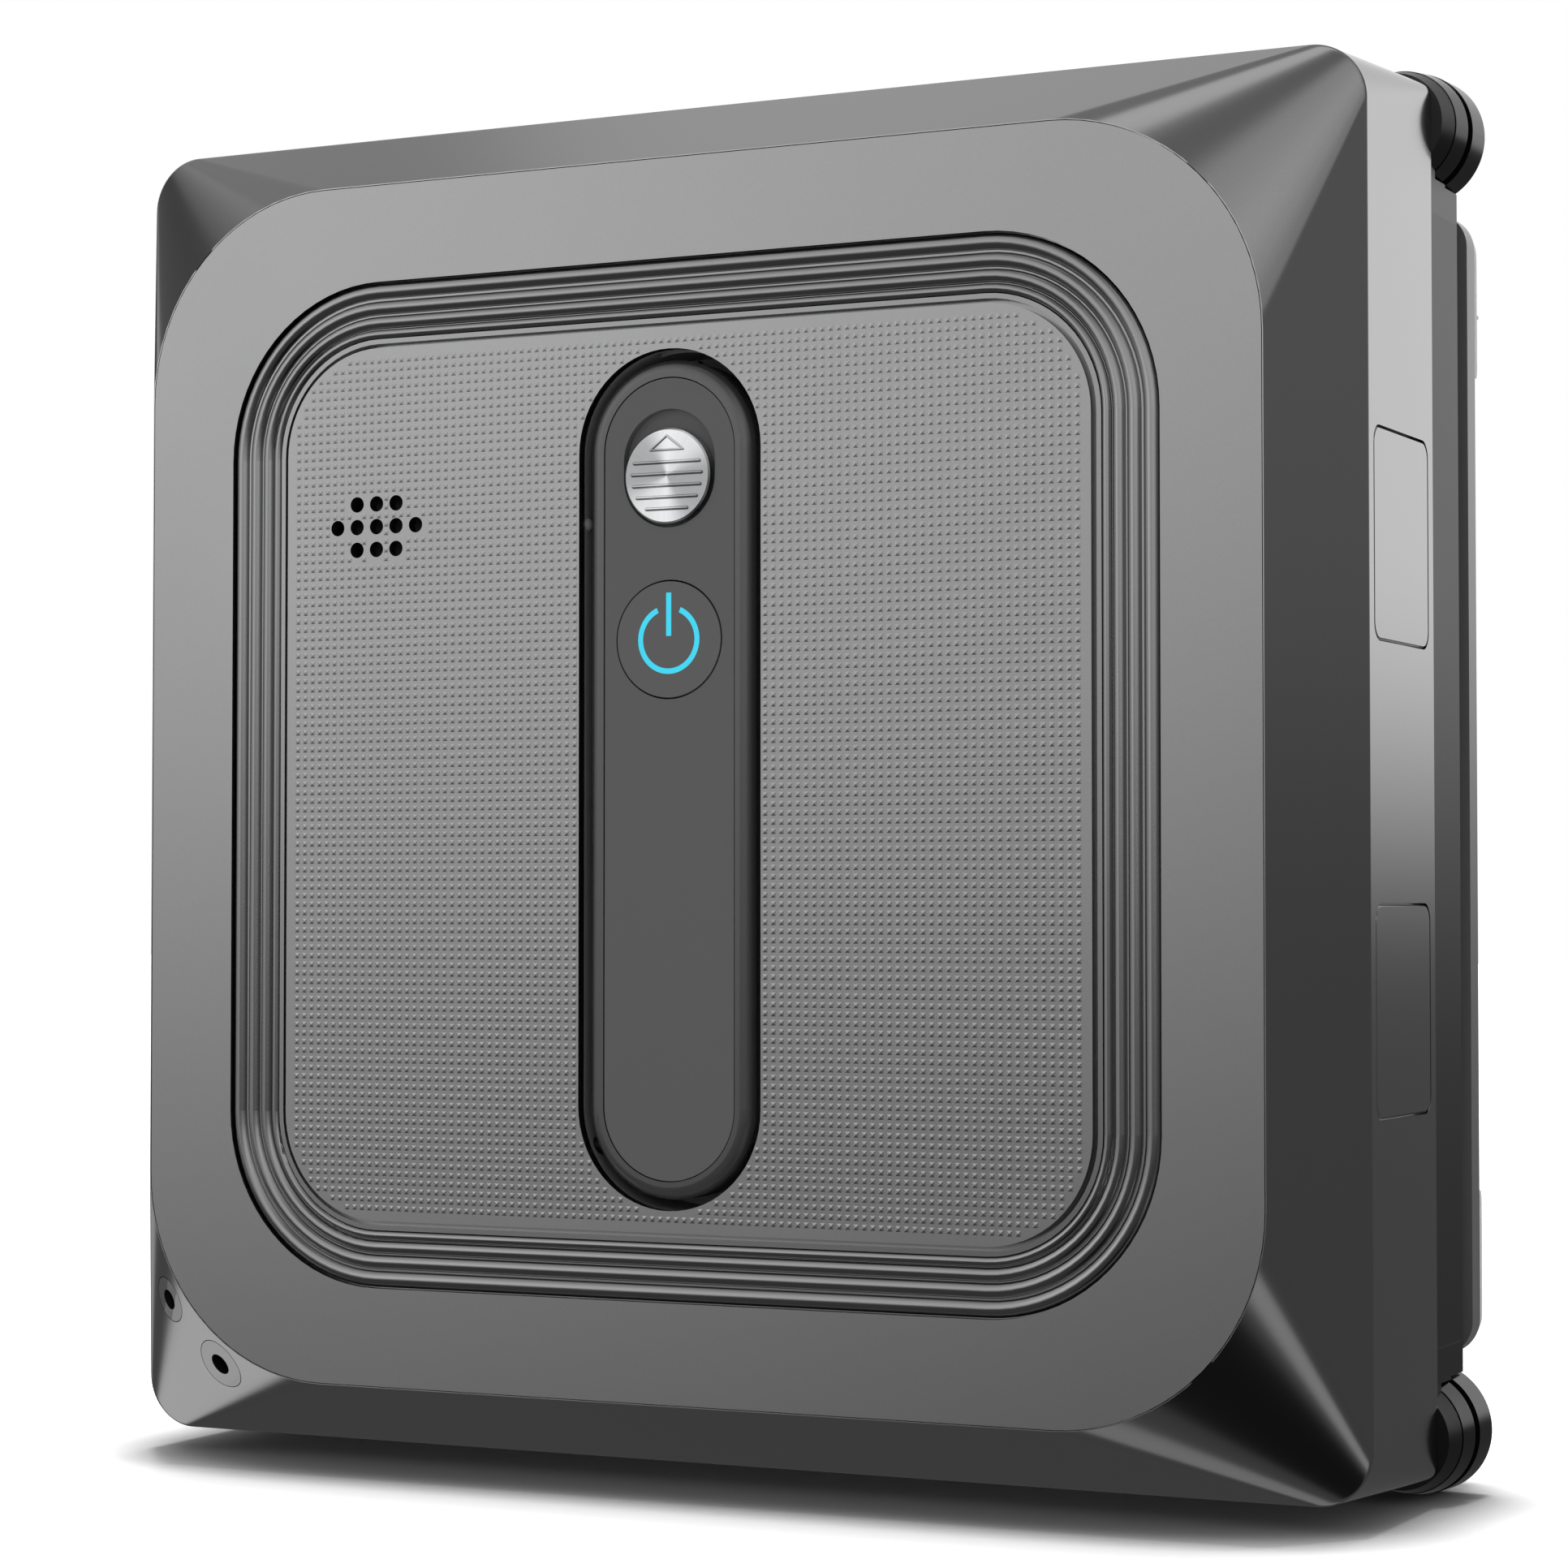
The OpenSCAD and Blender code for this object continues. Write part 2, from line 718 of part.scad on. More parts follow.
// Thumb slider: a round disc with grip bars and an arrow that points the way it unlocks
module latch_slider() {
    r = slider_d / 2;
    face = -slider_proud;
    stand() color("silver") translate([0, 0, slider_z]) {
        rod(0, 0, face, slider_sink - part_gap, r);
        box(-stem_w / 2, stem_w / 2, face + part_gap, bolt_y, -stem_l / 2, stem_l / 2);
        for (g = grip_shares) {
            half = sqrt(1 - g * g) * r - grip_in;
            intersection() {
                pin(face + grip_r - grip_proud, g * r, -half, half, grip_r, $fn = 24);
                box(-r, r, face - grip_proud, 0, -r, r);
            }
        }
        slab(face - grip_proud, 0) polygon([for (p = arrow_shares) p * r]);
    }
}

module latch_bolt() {
    stand() color("silver") box(-bolt_w / 2, bolt_w / 2, bolt_y, bolt_y + bolt_t,
        slider_z - bolt_tail, handle_l / 2 - fit_gap);
}

module power_button() {
    r = button_d / 2;
    stand() color("dimgray") {
        difference() {
            rod(0, button_z, 0, button_depth, r);
            rod(0, button_z, button_skin, button_depth + over, r - button_wall);
        }
        rod(0, button_z, button_skin - seat_gap, button_depth + switch_stem_out, switch_stem_r);
    }
}

module light_guide() {
    stand() color("cyan") difference() {
        rod(0, button_z, button_skin, 2 * button_skin, button_d / 2 - button_wall - fit_gap);
        rod(0, button_z, 0, 2 * button_skin + over, switch_stem_r + fit_gap);
    }
}

module speaker() {
    front = skin_t + gasket_t;
    stand() color("black") {
        difference() {
            rod(speaker_x, speaker_z, front, front + speaker_t, speaker_r);
            rod(speaker_x, speaker_z, front - over, front + gasket_t, speaker_r - gasket_w);
        }
        cone(speaker_x, speaker_z, front + speaker_t, front + 2 * speaker_t, speaker_r, speaker_r / 2);
    }
}

module speaker_gasket() {
    stand() color("black") difference() {
        rod(speaker_x, speaker_z, skin_t, skin_t + gasket_t, speaker_r);
        rod(speaker_x, speaker_z, skin_t - over, skin_t + gasket_t + over, speaker_r - gasket_w);
    }
}

// A round insert that lies flush with the slope, with a blind hole square to it
module slope_insert(turn, d, bore_r) {
    stand() color("gray") difference() {
        intersection() {
            casing_form();
            on_slope(turn) translate([0, 0, -insert_l]) cylinder(h = insert_l + 2 * over, d = d);
        }
        on_slope(turn) translate([0, 0, -insert_bore_l]) cylinder(h = insert_l + over, r = bore_r);
    }
}

// A cross with equal arms: a square outline whose corners are notched
module cross_outline(half, notch, r) {
    rounded(2 * half, 2 * (half - notch), r);
    rounded(2 * (half - notch), 2 * half, r);
}

// The window in a plate that one track passes through
module track_window(x0, x1, half) {
    for (s = [-1, 1]) translate([s * (x0 + x1) / 2, 0]) square([x1 - x0, 2 * half], center = true);
}

module rear_chassis() {
    half = body_half - chassis_inset;
    inner = half - wall;
    arm = half - corner_block;
    lip_half = body_half - wall - fit_gap;
    lip_in = lip_half - lip_t;
    win_half = half_base + loop_r + lug_h + window_margin;
    axle_end = frame_t + axle_out + part_gap;
    stand() color("#3c3c3c") difference() {
        union() {
            difference() {
                slab(chassis_y, chassis_rear) rounded(2 * half, 2 * half, body_r - chassis_inset);
                slab(chassis_y - over, floor_y) {
                    square([2 * inner, 2 * arm], center = true);
                    square([2 * arm, 2 * inner], center = true);
                }
            }
            slab(chassis_y - lip_h, chassis_y) difference() {
                rounded(2 * lip_half, 2 * lip_half, body_r - wall - fit_gap);
                rounded(2 * lip_in, 2 * lip_in, body_r - wall - lip_t + fit_gap);
            }
            four_corners(roller_c) cone(0, 0, chassis_y, chassis_y + ear_t, ear_front_r, ear_rear_r);
            for (x = [-1, 1], z = [-1, 1])
                rod(x * (main_board_w / 2 - standoff_in),
                    main_board_z + z * (main_board_h / 2 - standoff_in),
                    floor_y - standoff_h, floor_y + wall / 2, standoff_r);
            at_plate_screws() rod(0, 0, floor_y + wall / 2, plate_y, post_r);
        }
        at_plate_screws() rod(0, 0, plate_y - plate_screw_l, plate_y + over, screw_r + seat_gap);
        four_corners(roller_c) {
            rod(0, 0, chassis_y + ear_t, chassis_rear + over, roller_r * band_shares[1] + pocket_front_gap);
            rod(0, 0, chassis_y + ear_t + pocket_step, chassis_rear + over, roller_r + pocket_gap);
            rod(0, 0, chassis_y + ear_t - pin_root, chassis_rear, roller_pin_r + seat_gap);
        }
        seal_half = body_half - wall + seal_in + seal_w;
        slab(chassis_y - over, chassis_y + seal_w) difference() {
            rounded(2 * seal_half, 2 * seal_half, body_r - wall + seal_w);
            rounded(2 * (seal_half - seal_w), 2 * (seal_half - seal_w), body_r - wall);
        }
        slab(floor_y - over, chassis_rear + over)
            track_window(frame_in_x - axle_end, frame_out_x + axle_end, win_half);
        rod(0, 0, floor_y - over, chassis_rear + over, inlet_r);
        four_corners(post_x) rod(0, 0, floor_y - over, chassis_rear + over, screw_r + fit_gap);
    }
}

module chassis_seal() {
    half = body_half - wall + seal_in + seal_w - fit_gap / 2;
    inner = half - seal_w + fit_gap;
    stand() color("black") slab(chassis_y, chassis_y + seal_w) difference() {
        rounded(2 * half, 2 * half, body_r - wall + seal_w - fit_gap / 2);
        rounded(2 * inner, 2 * inner, body_r - wall + fit_gap / 2);
    }
}

module chassis_screws() {
    stand() color("silver") four_corners(post_x) {
        rod(0, 0, floor_y - screw_l + over, chassis_rear, screw_r);
        rod(0, 0, chassis_rear, chassis_rear + screw_head_t, screw_head_r);
    }
}

module main_board() {
    rear = floor_y - standoff_h;
    front = rear - main_board_t;
    w = main_board_w / 2;
    h = main_board_h / 2;
    stand() color("darkgreen") translate([0, 0, main_board_z]) {
        box(-w, w, front, rear, -h, h);
        for (c = chip_shares)
            box(c[0] * w, c[1] * w, front - c[4] * main_board_t, front, c[2] * h, c[3] * h);
        for (c = can_shares) rod(c * w, can_z_share * h, front - can_part_h, front, can_part_r);
    }
}

module battery_pack() {
    y = floor_y - battery_foot - cell_r;
    l = cell_l / 2;
    stand() color("steelblue") {
        for (s = [-1, 1]) pin(y, battery_z + s * cell_pitch / 2, -l, l, cell_r);
        box(-l, l, y - cell_r, y + cell_r, battery_z - cell_pitch / 2, battery_z + cell_pitch / 2);
        foot = (cell_pitch + cell_r) / 2;
        box(-l, l, y, floor_y, battery_z - foot, battery_z + foot);
    }
}

module fan_housing() {
    inner = can_r - can_wall;
    stand() color("#505050") difference() {
        union() {
            rod(0, 0, can_y, can_rear, can_r);
            box(can_r - duct_out_w - 2 * can_wall, can_r, can_y, can_rear, 0, duct_out_z);
        }
        rod(0, 0, can_y + can_wall, can_rear + over, inner);
        box(inner - duct_out_w, inner, can_y + can_wall, can_rear - can_wall, 0, duct_out_z + over);
        rod(0, 0, can_y - over, can_y + can_wall + over, fan_motor_hole_r);
    }
}

module fan_inlet_ring() {
    lip_front = impeller_rear - shroud_t + part_gap;
    stand() color("#505050") difference() {
        union() {
            rod(0, 0, can_rear, floor_y, can_r);
            rod(0, 0, lip_front, can_rear + over / 2, eye_r - part_gap);
        }
        rod(0, 0, lip_front - over, floor_y + over, eye_r - part_gap - can_wall);
    }
}

module fan_motor() {
    rear = can_y;
    front = rear - fan_motor_l;
    stand() color("silver") difference() {
        union() {
            rod(0, 0, front, rear, fan_motor_r);
            rod(0, 0, rear - fan_motor_flange_t, rear, fan_motor_r + fan_motor_flange);
        }
        rod(0, 0, rear - shaft_in_motor, rear + over, fan_shaft_r + run_gap);
        slot = front + fan_motor_slot_from;
        for (i = [0 : fan_motor_slots - 1]) rotate([0, 360 / fan_motor_slots * i, 0])
            box(fan_motor_r - fan_motor_slot_deep, fan_motor_r + over, slot, slot + fan_motor_slot_l,
                -fan_motor_slot_w / 2, fan_motor_slot_w / 2);
    }
}

module fan_shaft() {
    stand() color("silver")
        rod(0, 0, can_y - shaft_in_motor + over, impeller_y + shroud_t + blade_h, fan_shaft_r);
}

// One backward-curved blade, drawn along a line whose angle grows with the radius
module blade() {
    r0 = hub_r + blade_start_share * (impeller_r - hub_r);
    r1 = impeller_r - blade_in;
    radii = [for (i = [0 : blade_steps]) r0 + (r1 - r0) * i / blade_steps];
    turns = [for (i = [0 : blade_steps]) -blade_sweep * i / blade_steps];
    near = [for (i = [0 : blade_steps]) [radii[i] * cos(turns[i]), radii[i] * sin(turns[i])]];
    far = [for (i = [blade_steps : -1 : 0]) let (a = turns[i] + blade_t / radii[i] * 180 / PI)
        [radii[i] * cos(a), radii[i] * sin(a)]];
    polygon(concat(near, far));
}

module fan_impeller() {
    y1 = impeller_y + shroud_t;
    y2 = y1 + blade_h;
    stand() color("dimgray") difference() {
        union() {
            rod(0, 0, impeller_y, y1, impeller_r);
            rod(0, 0, impeller_y, y2 - blade_h / 4, hub_r);
            slab(y1 - shroud_t / 2, y2)
                for (i = [0 : blade_count - 1]) rotate(360 / blade_count * i) blade();
            difference() {
                rod(0, 0, y2, y2 + shroud_t, impeller_r);
                rod(0, 0, y2 - over, y2 + shroud_t + over, eye_r);
            }
        }
        rod(0, 0, impeller_y - over, y2 + over, fan_shaft_r);
    }
}

module plinth() {
    half = plate_half - plinth_inset;
    notch = plate_notch;
    stand() color("#141414") difference() {
        union() {
            slab(chassis_rear, plate_y) difference() {
                cross_outline(half, notch, plate_r - plinth_inset / 2);
                cross_outline(half - plinth_wall, notch, plate_r - plinth_inset / 2 - plinth_wall / 2);
            }
            rod(0, 0, chassis_rear, plate_y, duct_r + duct_wall);
            for (s = [-1, 1]) mirror([0, 0, s < 0 ? 1 : 0])
                box(-rib_t / 2, rib_t / 2, chassis_rear, plate_y,
                    duct_r + duct_wall / 2, half - plinth_wall / 2);
        }
        rod(0, 0, chassis_rear - over, plate_y + over, duct_r);
        middle = (chassis_rear + plate_y) / 2;
        for (i = [0 : vent_count - 1]) {
            x = (i - (vent_count - 1) / 2) * vent_pitch;
            box(x - vent_w / 2, x + vent_w / 2, middle - vent_h / 2, middle + vent_h / 2,
                half - plinth_wall - over, half + over);
        }
    }
}

module base_plate() {
    stand() color("#8c8c8c") difference() {
        slab(plate_y, plate_rear) difference() {
            cross_outline(plate_half, plate_notch, plate_r);
            track_window(track_x - track_w / 2 - window_margin, track_x + track_w / 2 + window_margin,
                half_base + loop_r + lug_h + window_margin);
        }
        rod(0, 0, plate_y - over, plate_rear - grille_t, duct_r);
        rod(0, 0, plate_rear - grille_t, plate_rear + over, grille_r + fit_gap);
        at_plate_screws() {
            rod(0, 0, plate_y - over, plate_rear + over, screw_r + fit_gap);
            rod(0, 0, plate_rear - screw_head_t, plate_rear + over, screw_head_r + fit_gap);
        }
    }
}

module plate_screws() {
    stand() color("silver") at_plate_screws() {
        rod(0, 0, plate_y - plate_screw_l + over, plate_rear - screw_head_t, screw_r);
        rod(0, 0, plate_rear - screw_head_t, plate_rear, screw_head_r);
    }
}

// Rings and spokes that keep cloth and fingers out of the suction inlet
module inlet_grille() {
    stand() color("#303030") slab(plate_rear - grille_t, plate_rear) {
        for (i = [1 : grille_rings]) difference() {
            circle(grille_r - (i - 1) * grille_step);
            circle(grille_r - (i - 1) * grille_step - (i == 1 ? grille_lip + grille_bar : grille_bar));
        }
        circle(grille_r - grille_rings * grille_step);
        for (i = [0 : grille_spokes - 1]) rotate(360 / grille_spokes * i)
            translate([grille_bar, -grille_bar / 2]) square([grille_r - 2 * grille_bar, grille_bar]);
    }
}

// A flat ring: full width at the top and the bottom, drawn in beside the tracks
module cleaning_pad() {
    stand() color("#c8c8c8") slab(plate_rear, pad_rear) difference() {
        cross_outline(plate_half - pad_gap, plate_notch, plate_r);
        square([2 * pad_window_x, 2 * pad_window_z], center = true);
        for (s = [-1, 1]) translate([s * (pad_side_x + plate_half) / 2, 0])
            square([plate_half - pad_side_x, 2 * pad_window_z], center = true);
    }
}

module roller_pins() {
    rear = roller_y + roller_l + part_gap;
    stand() color("silver") four_corners(roller_c) {
        rod(0, 0, chassis_y + ear_t - pin_root, rear, roller_pin_r);
        rod(0, 0, rear, rear + pin_head_t, pin_head_r);
    }
}

// A slightly tapered drum with a groove between its two bands
module roller(x, z) {
    y1 = roller_y + groove_from;
    y2 = y1 + groove_w;
    y3 = roller_y + roller_l;
    stand() color("#101010") translate([x * roller_c, 0, z * roller_c]) difference() {
        union() {
            cone(0, 0, roller_y, y1, roller_r * band_shares[0], roller_r * band_shares[1]);
            rod(0, 0, roller_y, y3, roller_r * band_shares[2]);
            cone(0, 0, y2, y3 - rim_edge, roller_r * band_shares[3], roller_r);
            cone(0, 0, y3 - rim_edge, y3, roller_r, roller_r - rim_edge);
        }
        rod(0, 0, roller_y - over, y3 + over, roller_pin_r + run_gap);
    }
}

// A point on the track's loop, at the length s along it and the height h over the belt
function on_loop(s, h) =
    let (arc = PI * loop_r, r = loop_r + h, t = s % loop_l)
    t < wheelbase ? [r, t - half_base] :
    t < wheelbase + arc ? let (a = (t - wheelbase) / arc * 180) [r * cos(a), half_base + r * sin(a)] :
    t < 2 * wheelbase + arc ? [-r, half_base - (t - wheelbase - arc)] :
    let (a = 180 + (t - 2 * wheelbase - arc) / arc * 180) [r * cos(a), r * sin(a) - half_base];

module track() {
    shares = len(lug_shares);
    points = [for (i = [0 : lug_count - 1], k = [0 : shares - 1])
        on_loop((i + lug_shares[k]) * lug_step, k == 0 || k == shares - 1 ? 0 : lug_h)];
    inner_r = pulley_r + belt_gap;
    across(track_x - track_w / 2, track_x + track_w / 2) translate([pulley_y, 0]) difference() {
        polygon(points);
        stadium(2 * inner_r, wheelbase + 2 * inner_r);
    }
}

// A channel with two cheeks that hold the axles, and flanges that sit on the chassis floor
module track_frame() {
    bores = [drive_z, half_base];
    difference() {
        union() {
            box(frame_in_x - frame_t, frame_out_x + frame_t, frame_web_y, frame_web_y + frame_t,
                -frame_half, frame_half);
            box(frame_in_x - frame_t, frame_in_x, frame_web_y, frame_rear, -frame_half, frame_half);
            box(frame_out_x, frame_out_x + frame_t, frame_web_y, frame_rear, -frame_half, frame_half);
            box(frame_in_x - frame_t - flange_w, frame_in_x - frame_t / 2, floor_y - frame_t, floor_y,
                -flange_half, flange_half);
            box(frame_out_x + frame_t / 2, frame_out_x + frame_t + flange_w, floor_y - frame_t, floor_y,
                -flange_half, flange_half);
        }
        for (z = bores)
            pin(pulley_y, z, frame_in_x - frame_t - over, frame_out_x + frame_t + over, axle_r + run_gap);
        pin(pinion_y, drive_z, frame_in_x - frame_t - over, frame_in_x + over, motor_shaft_r + fit_gap);
    }
}

module drive_motor() {
    front = frame_in_x - frame_t;
    difference() {
        union() {
            pin(pinion_y, drive_z, front - motor_l, front, motor_r);
            pin(pinion_y, drive_z, front - motor_l - motor_boss_l, front - motor_l + over, motor_boss_r);
        }
        pin(pinion_y, drive_z, front - motor_shaft_in, front + over, motor_shaft_r + run_gap);
        for (s = [-1, 1]) translate([0, pinion_y, drive_z]) rotate([90 * s, 0, 0])
            box(front - motor_l - over, front - motor_l + motor_flat_share * motor_l,
                motor_r - motor_flat, motor_r + over, -motor_r, motor_r);
    }
}

// Gear outline with involute flanks, shortened tips and a little slack
function involute(a) = tan(a) * 180 / PI - a;
function half_tooth(r, teeth, pitch_r) =
    let (base = pitch_r * cos(pressure_angle))
    90 / teeth * (1 - tooth_slack_share) + involute(pressure_angle) - involute(acos(min(1, base / r)));

module gear_outline(teeth, turn) {
    pitch_r = gear_module * teeth / 2;
    tip = pitch_r + tooth_out_share * gear_module;
    root = pitch_r - tooth_in_share * gear_module;
    base = max(root, pitch_r * cos(pressure_angle));
    radii = [root, base, (base + pitch_r) / 2, pitch_r, (pitch_r + tip) / 2, tip];
    last = len(radii) - 1;
    polygon([for (i = [0 : teeth - 1], k = [0 : 2 * last + 1])
        let (up = k <= last, r = radii[up ? k : 2 * last + 1 - k],
            half = half_tooth(max(r, base), teeth, pitch_r),
            a = turn + 360 / teeth * i + (up ? -half : half))
        [r * cos(a), r * sin(a)]]);
}

module drive_gear() {
    difference() {
        across(gear_x, gear_x + gear_w) translate([pulley_y, drive_z]) gear_outline(drive_teeth, 180);
        pin(pulley_y, drive_z, gear_x - over, gear_x + gear_w + over, axle_r);
    }
}

module motor_pinion() {
    across(gear_x, gear_x + gear_w) translate([pinion_y, drive_z])
        gear_outline(pinion_teeth, 180 / pinion_teeth);
    pin(pinion_y, drive_z, frame_in_x - frame_t - motor_shaft_in + over, gear_x + over, motor_shaft_r);
}

module drive_axle() {
    pin(pulley_y, drive_z, frame_in_x - frame_t - axle_out, frame_out_x + frame_t + axle_out, axle_r);
}

// A drum with a rim, a drilled web and a hub
module pulley(z, bore_r) {
    x0 = track_x - pulley_w / 2;
    x1 = track_x + pulley_w / 2;
    deep = (pulley_w - pulley_web) / 2;
    translate([0, pulley_y, z]) difference() {
        pin(0, 0, x0, x1, pulley_r);
        for (x = [x0 - over, x1 - deep]) difference() {
            pin(0, 0, x, x + deep + over, pulley_r - pulley_rim);
            pin(0, 0, x - over, x + deep + 2 * over, pulley_hub_r);
        }
        for (i = [0 : pulley_holes - 1]) rotate([360 / pulley_holes * i, 0, 0])
            pin((pulley_r - pulley_rim + pulley_hub_r) / 2, 0, x0, x1, pulley_hole_r);
        pin(0, 0, x0 - over, x1 + over, bore_r);
    }
}

module on_side(side) {
    stand() mirror([side < 0 ? 1 : 0, 0, 0]) children();
}

module idler_axles() {
    for (s = [-1, 1]) on_side(s) color("silver")
        pin(pulley_y, half_base, frame_in_x - frame_t - axle_out, frame_out_x + frame_t + axle_out, axle_r);
}

front_shell();
face_plate();
face_ring();
centre_panel();
handle_well();
handle_hinge_pin();
speaker();
speaker_gasket();
side_cover(1, cover_z);  // side_cover_right_upper
side_cover(1, -cover_z);  // side_cover_right_lower
side_cover(-1, cover_z);  // side_cover_left_upper
side_cover(-1, -cover_z);  // side_cover_left_lower
slope_insert(45 - insert_spread, socket_d, socket_bore_r);  // power_socket
slope_insert(45 + insert_spread, anchor_d, anchor_bore_r);  // rope_anchor
handle_frame();
control_strip();
switch_board();
latch_slider();
latch_bolt();
power_button();
light_guide();
rear_chassis();
chassis_seal();
chassis_screws();
main_board();
battery_pack();
fan_housing();
fan_inlet_ring();
fan_motor();
fan_shaft();
fan_impeller();
plinth();
base_plate();
plate_screws();
inlet_grille();
cleaning_pad();
roller_pins();
roller(1, 1);  // roller_right_upper
roller(1, -1);  // roller_right_lower
roller(-1, 1);  // roller_left_upper
roller(-1, -1);  // roller_left_lower
on_side(1) color("#202020") track();  // right_track
on_side(-1) color("#202020") track();  // left_track
on_side(1) color("#606060") track_frame();  // right_track_frame
on_side(-1) color("#606060") track_frame();  // left_track_frame
on_side(1) color("silver") drive_motor();  // right_drive_motor
on_side(-1) color("silver") drive_motor();  // left_drive_motor
on_side(1) color("goldenrod") motor_pinion();  // right_motor_pinion
on_side(-1) color("goldenrod") motor_pinion();  // left_motor_pinion
on_side(1) color("ivory") drive_gear();  // right_drive_gear
on_side(-1) color("ivory") drive_gear();  // left_drive_gear
on_side(1) color("silver") drive_axle();  // right_drive_axle
on_side(-1) color("silver") drive_axle();  // left_drive_axle
on_side(1) color("gray") pulley(drive_z, axle_r);  // right_drive_pulley
on_side(-1) color("gray") pulley(drive_z, axle_r);  // left_drive_pulley
on_side(1) color("gray") pulley(half_base, idler_bore_r);  // right_idler_pulley
on_side(-1) color("gray") pulley(half_base, idler_bore_r);  // left_idler_pulley
idler_axles();
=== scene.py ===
# Window cleaning robot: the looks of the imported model, in metres, its control face towards -Y and Z up.
import bpy
import bmesh
import json
import math
from mathutils import Matrix, Vector

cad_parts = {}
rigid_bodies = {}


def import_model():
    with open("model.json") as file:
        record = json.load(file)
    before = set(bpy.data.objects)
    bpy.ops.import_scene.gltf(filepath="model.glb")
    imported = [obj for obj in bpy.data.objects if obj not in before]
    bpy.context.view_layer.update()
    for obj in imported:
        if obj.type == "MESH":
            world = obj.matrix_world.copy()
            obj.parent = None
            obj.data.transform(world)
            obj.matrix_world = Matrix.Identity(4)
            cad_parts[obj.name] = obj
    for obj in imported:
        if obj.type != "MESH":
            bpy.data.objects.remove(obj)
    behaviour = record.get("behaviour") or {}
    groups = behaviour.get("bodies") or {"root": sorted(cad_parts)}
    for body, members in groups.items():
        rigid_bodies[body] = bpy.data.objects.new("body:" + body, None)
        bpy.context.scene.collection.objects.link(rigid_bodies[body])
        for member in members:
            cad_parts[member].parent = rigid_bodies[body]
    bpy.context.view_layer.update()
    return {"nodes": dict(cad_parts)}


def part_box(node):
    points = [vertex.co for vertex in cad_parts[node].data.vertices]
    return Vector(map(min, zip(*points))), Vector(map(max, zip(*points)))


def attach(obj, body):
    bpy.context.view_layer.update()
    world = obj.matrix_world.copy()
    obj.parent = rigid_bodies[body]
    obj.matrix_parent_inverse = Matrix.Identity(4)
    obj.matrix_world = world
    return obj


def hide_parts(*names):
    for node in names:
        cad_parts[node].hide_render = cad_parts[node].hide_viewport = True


for startObject in list(bpy.data.objects):
    bpy.data.objects.remove(startObject)
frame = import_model()
nodes = frame["nodes"]
scene = bpy.context.scene
print("frame loaded:", len(nodes), "nodes")

# the front view's own millimetres: X from the middle, Y back from the face, Z from the middle
frontView = {"middleY": 42.675, "floorZ": 124.4}


def at(x, y, z):
    # a place in the front view, as metres in the shared frame
    return Vector((x, y - frontView["middleY"], z + frontView["floorZ"])) / 1000


def linear(hexColour):
    # an sRGB hex value as linear red, green, blue and full alpha
    parts = [int(hexColour[i:i + 2], 16) / 255 for i in (1, 3, 5)]
    return tuple(p / 12.92 if p <= 0.04045 else ((p + 0.055) / 1.055) ** 2.4 for p in parts) + (1.0,)


def tinted(colour, share):
    # a linear colour made darker or lighter
    return tuple(min(1.0, c * share) for c in colour[:3]) + (1.0,)


def setInputs(tree, node, inputs):
    # an input takes a value, another node's output, or a node, whose first output in use is meant
    for key, value in inputs.items():
        if isinstance(value, bpy.types.Node):
            value = next(output for output in value.outputs if output.enabled)
        if isinstance(value, bpy.types.NodeSocket):
            tree.links.new(value, node.inputs[key])
        else:
            node.inputs[key].default_value = value


def addNode(tree, kind, inputs=None, operation=None, **settings):
    # one node with its settings and links; a short kind is a shader node
    node = tree.nodes.new(kind if "Node" in kind else "ShaderNode" + kind)
    if operation:
        node.operation = operation
    for name, value in settings.items():
        setattr(node, name, value)
    setInputs(tree, node, inputs or {})
    return node


def newMaterial(name, values):
    # a material with its shader's own sockets set, and the object's coordinates for its patterns
    mat = bpy.data.materials.new(name)
    mat.use_nodes = True
    tree = mat.node_tree
    shader = tree.nodes["Principled BSDF"]
    setInputs(tree, shader, values)
    return mat, tree, shader, addNode(tree, "TexCoord").outputs["Object"]


# how large the finishes' patterns are and how deep, in millimetres
pattern = {
    "flowCloud": 45.5, "flake": 0.25, "smear": 71.4, "rollStreak": 83.3, "stain": 16.7, "lineDepth": 0.004,
    "scratchDepth": 0.03, "dust": 11.1, "pitDepth": 0.04, "pileLoop": 1.4, "pileFibre": 0.35,
    "pileDepth": 0.2, "boardTrack": 3.125, "boardWeave": 0.67, "weaveDepth": 0.02, "glowDrift": 2.5}


def mouldedPlastic(name, hexColour, rough, grainMm, depthMm, ior=1.5, coat=0.0, flow=0.06):
    # ABS from a textured mould: fine grain, faint flow clouds in the colour, gloss that wanders a little
    mat, tree, shader, coords = newMaterial(name, {"IOR": ior, "Coat Weight": coat, "Coat Roughness": 0.12})
    base = linear(hexColour)
    cloud = addNode(tree, "TexNoise", {
        "Vector": coords, "Scale": 1000 / pattern["flowCloud"], "Detail": 4.0})
    colour = addNode(tree, "Mix", {
        "Factor": cloud, "A": tinted(base, 1 - flow), "B": tinted(base, 1 + flow)}, data_type="RGBA")
    gloss = addNode(tree, "MapRange", {
        "Value": cloud, "To Min": rough * 0.88, "To Max": min(1.0, rough * 1.14)})
    grain = addNode(tree, "TexNoise", {
        "Vector": coords, "Scale": 1000 / grainMm, "Detail": 3.0, "Roughness": 0.6})
    bump = addNode(tree, "Bump", {"Height": grain, "Strength": 0.5, "Distance": depthMm / 1000})
    setInputs(tree, shader, {"Base Color": colour, "Roughness": gloss, "Normal": bump})
    return mat


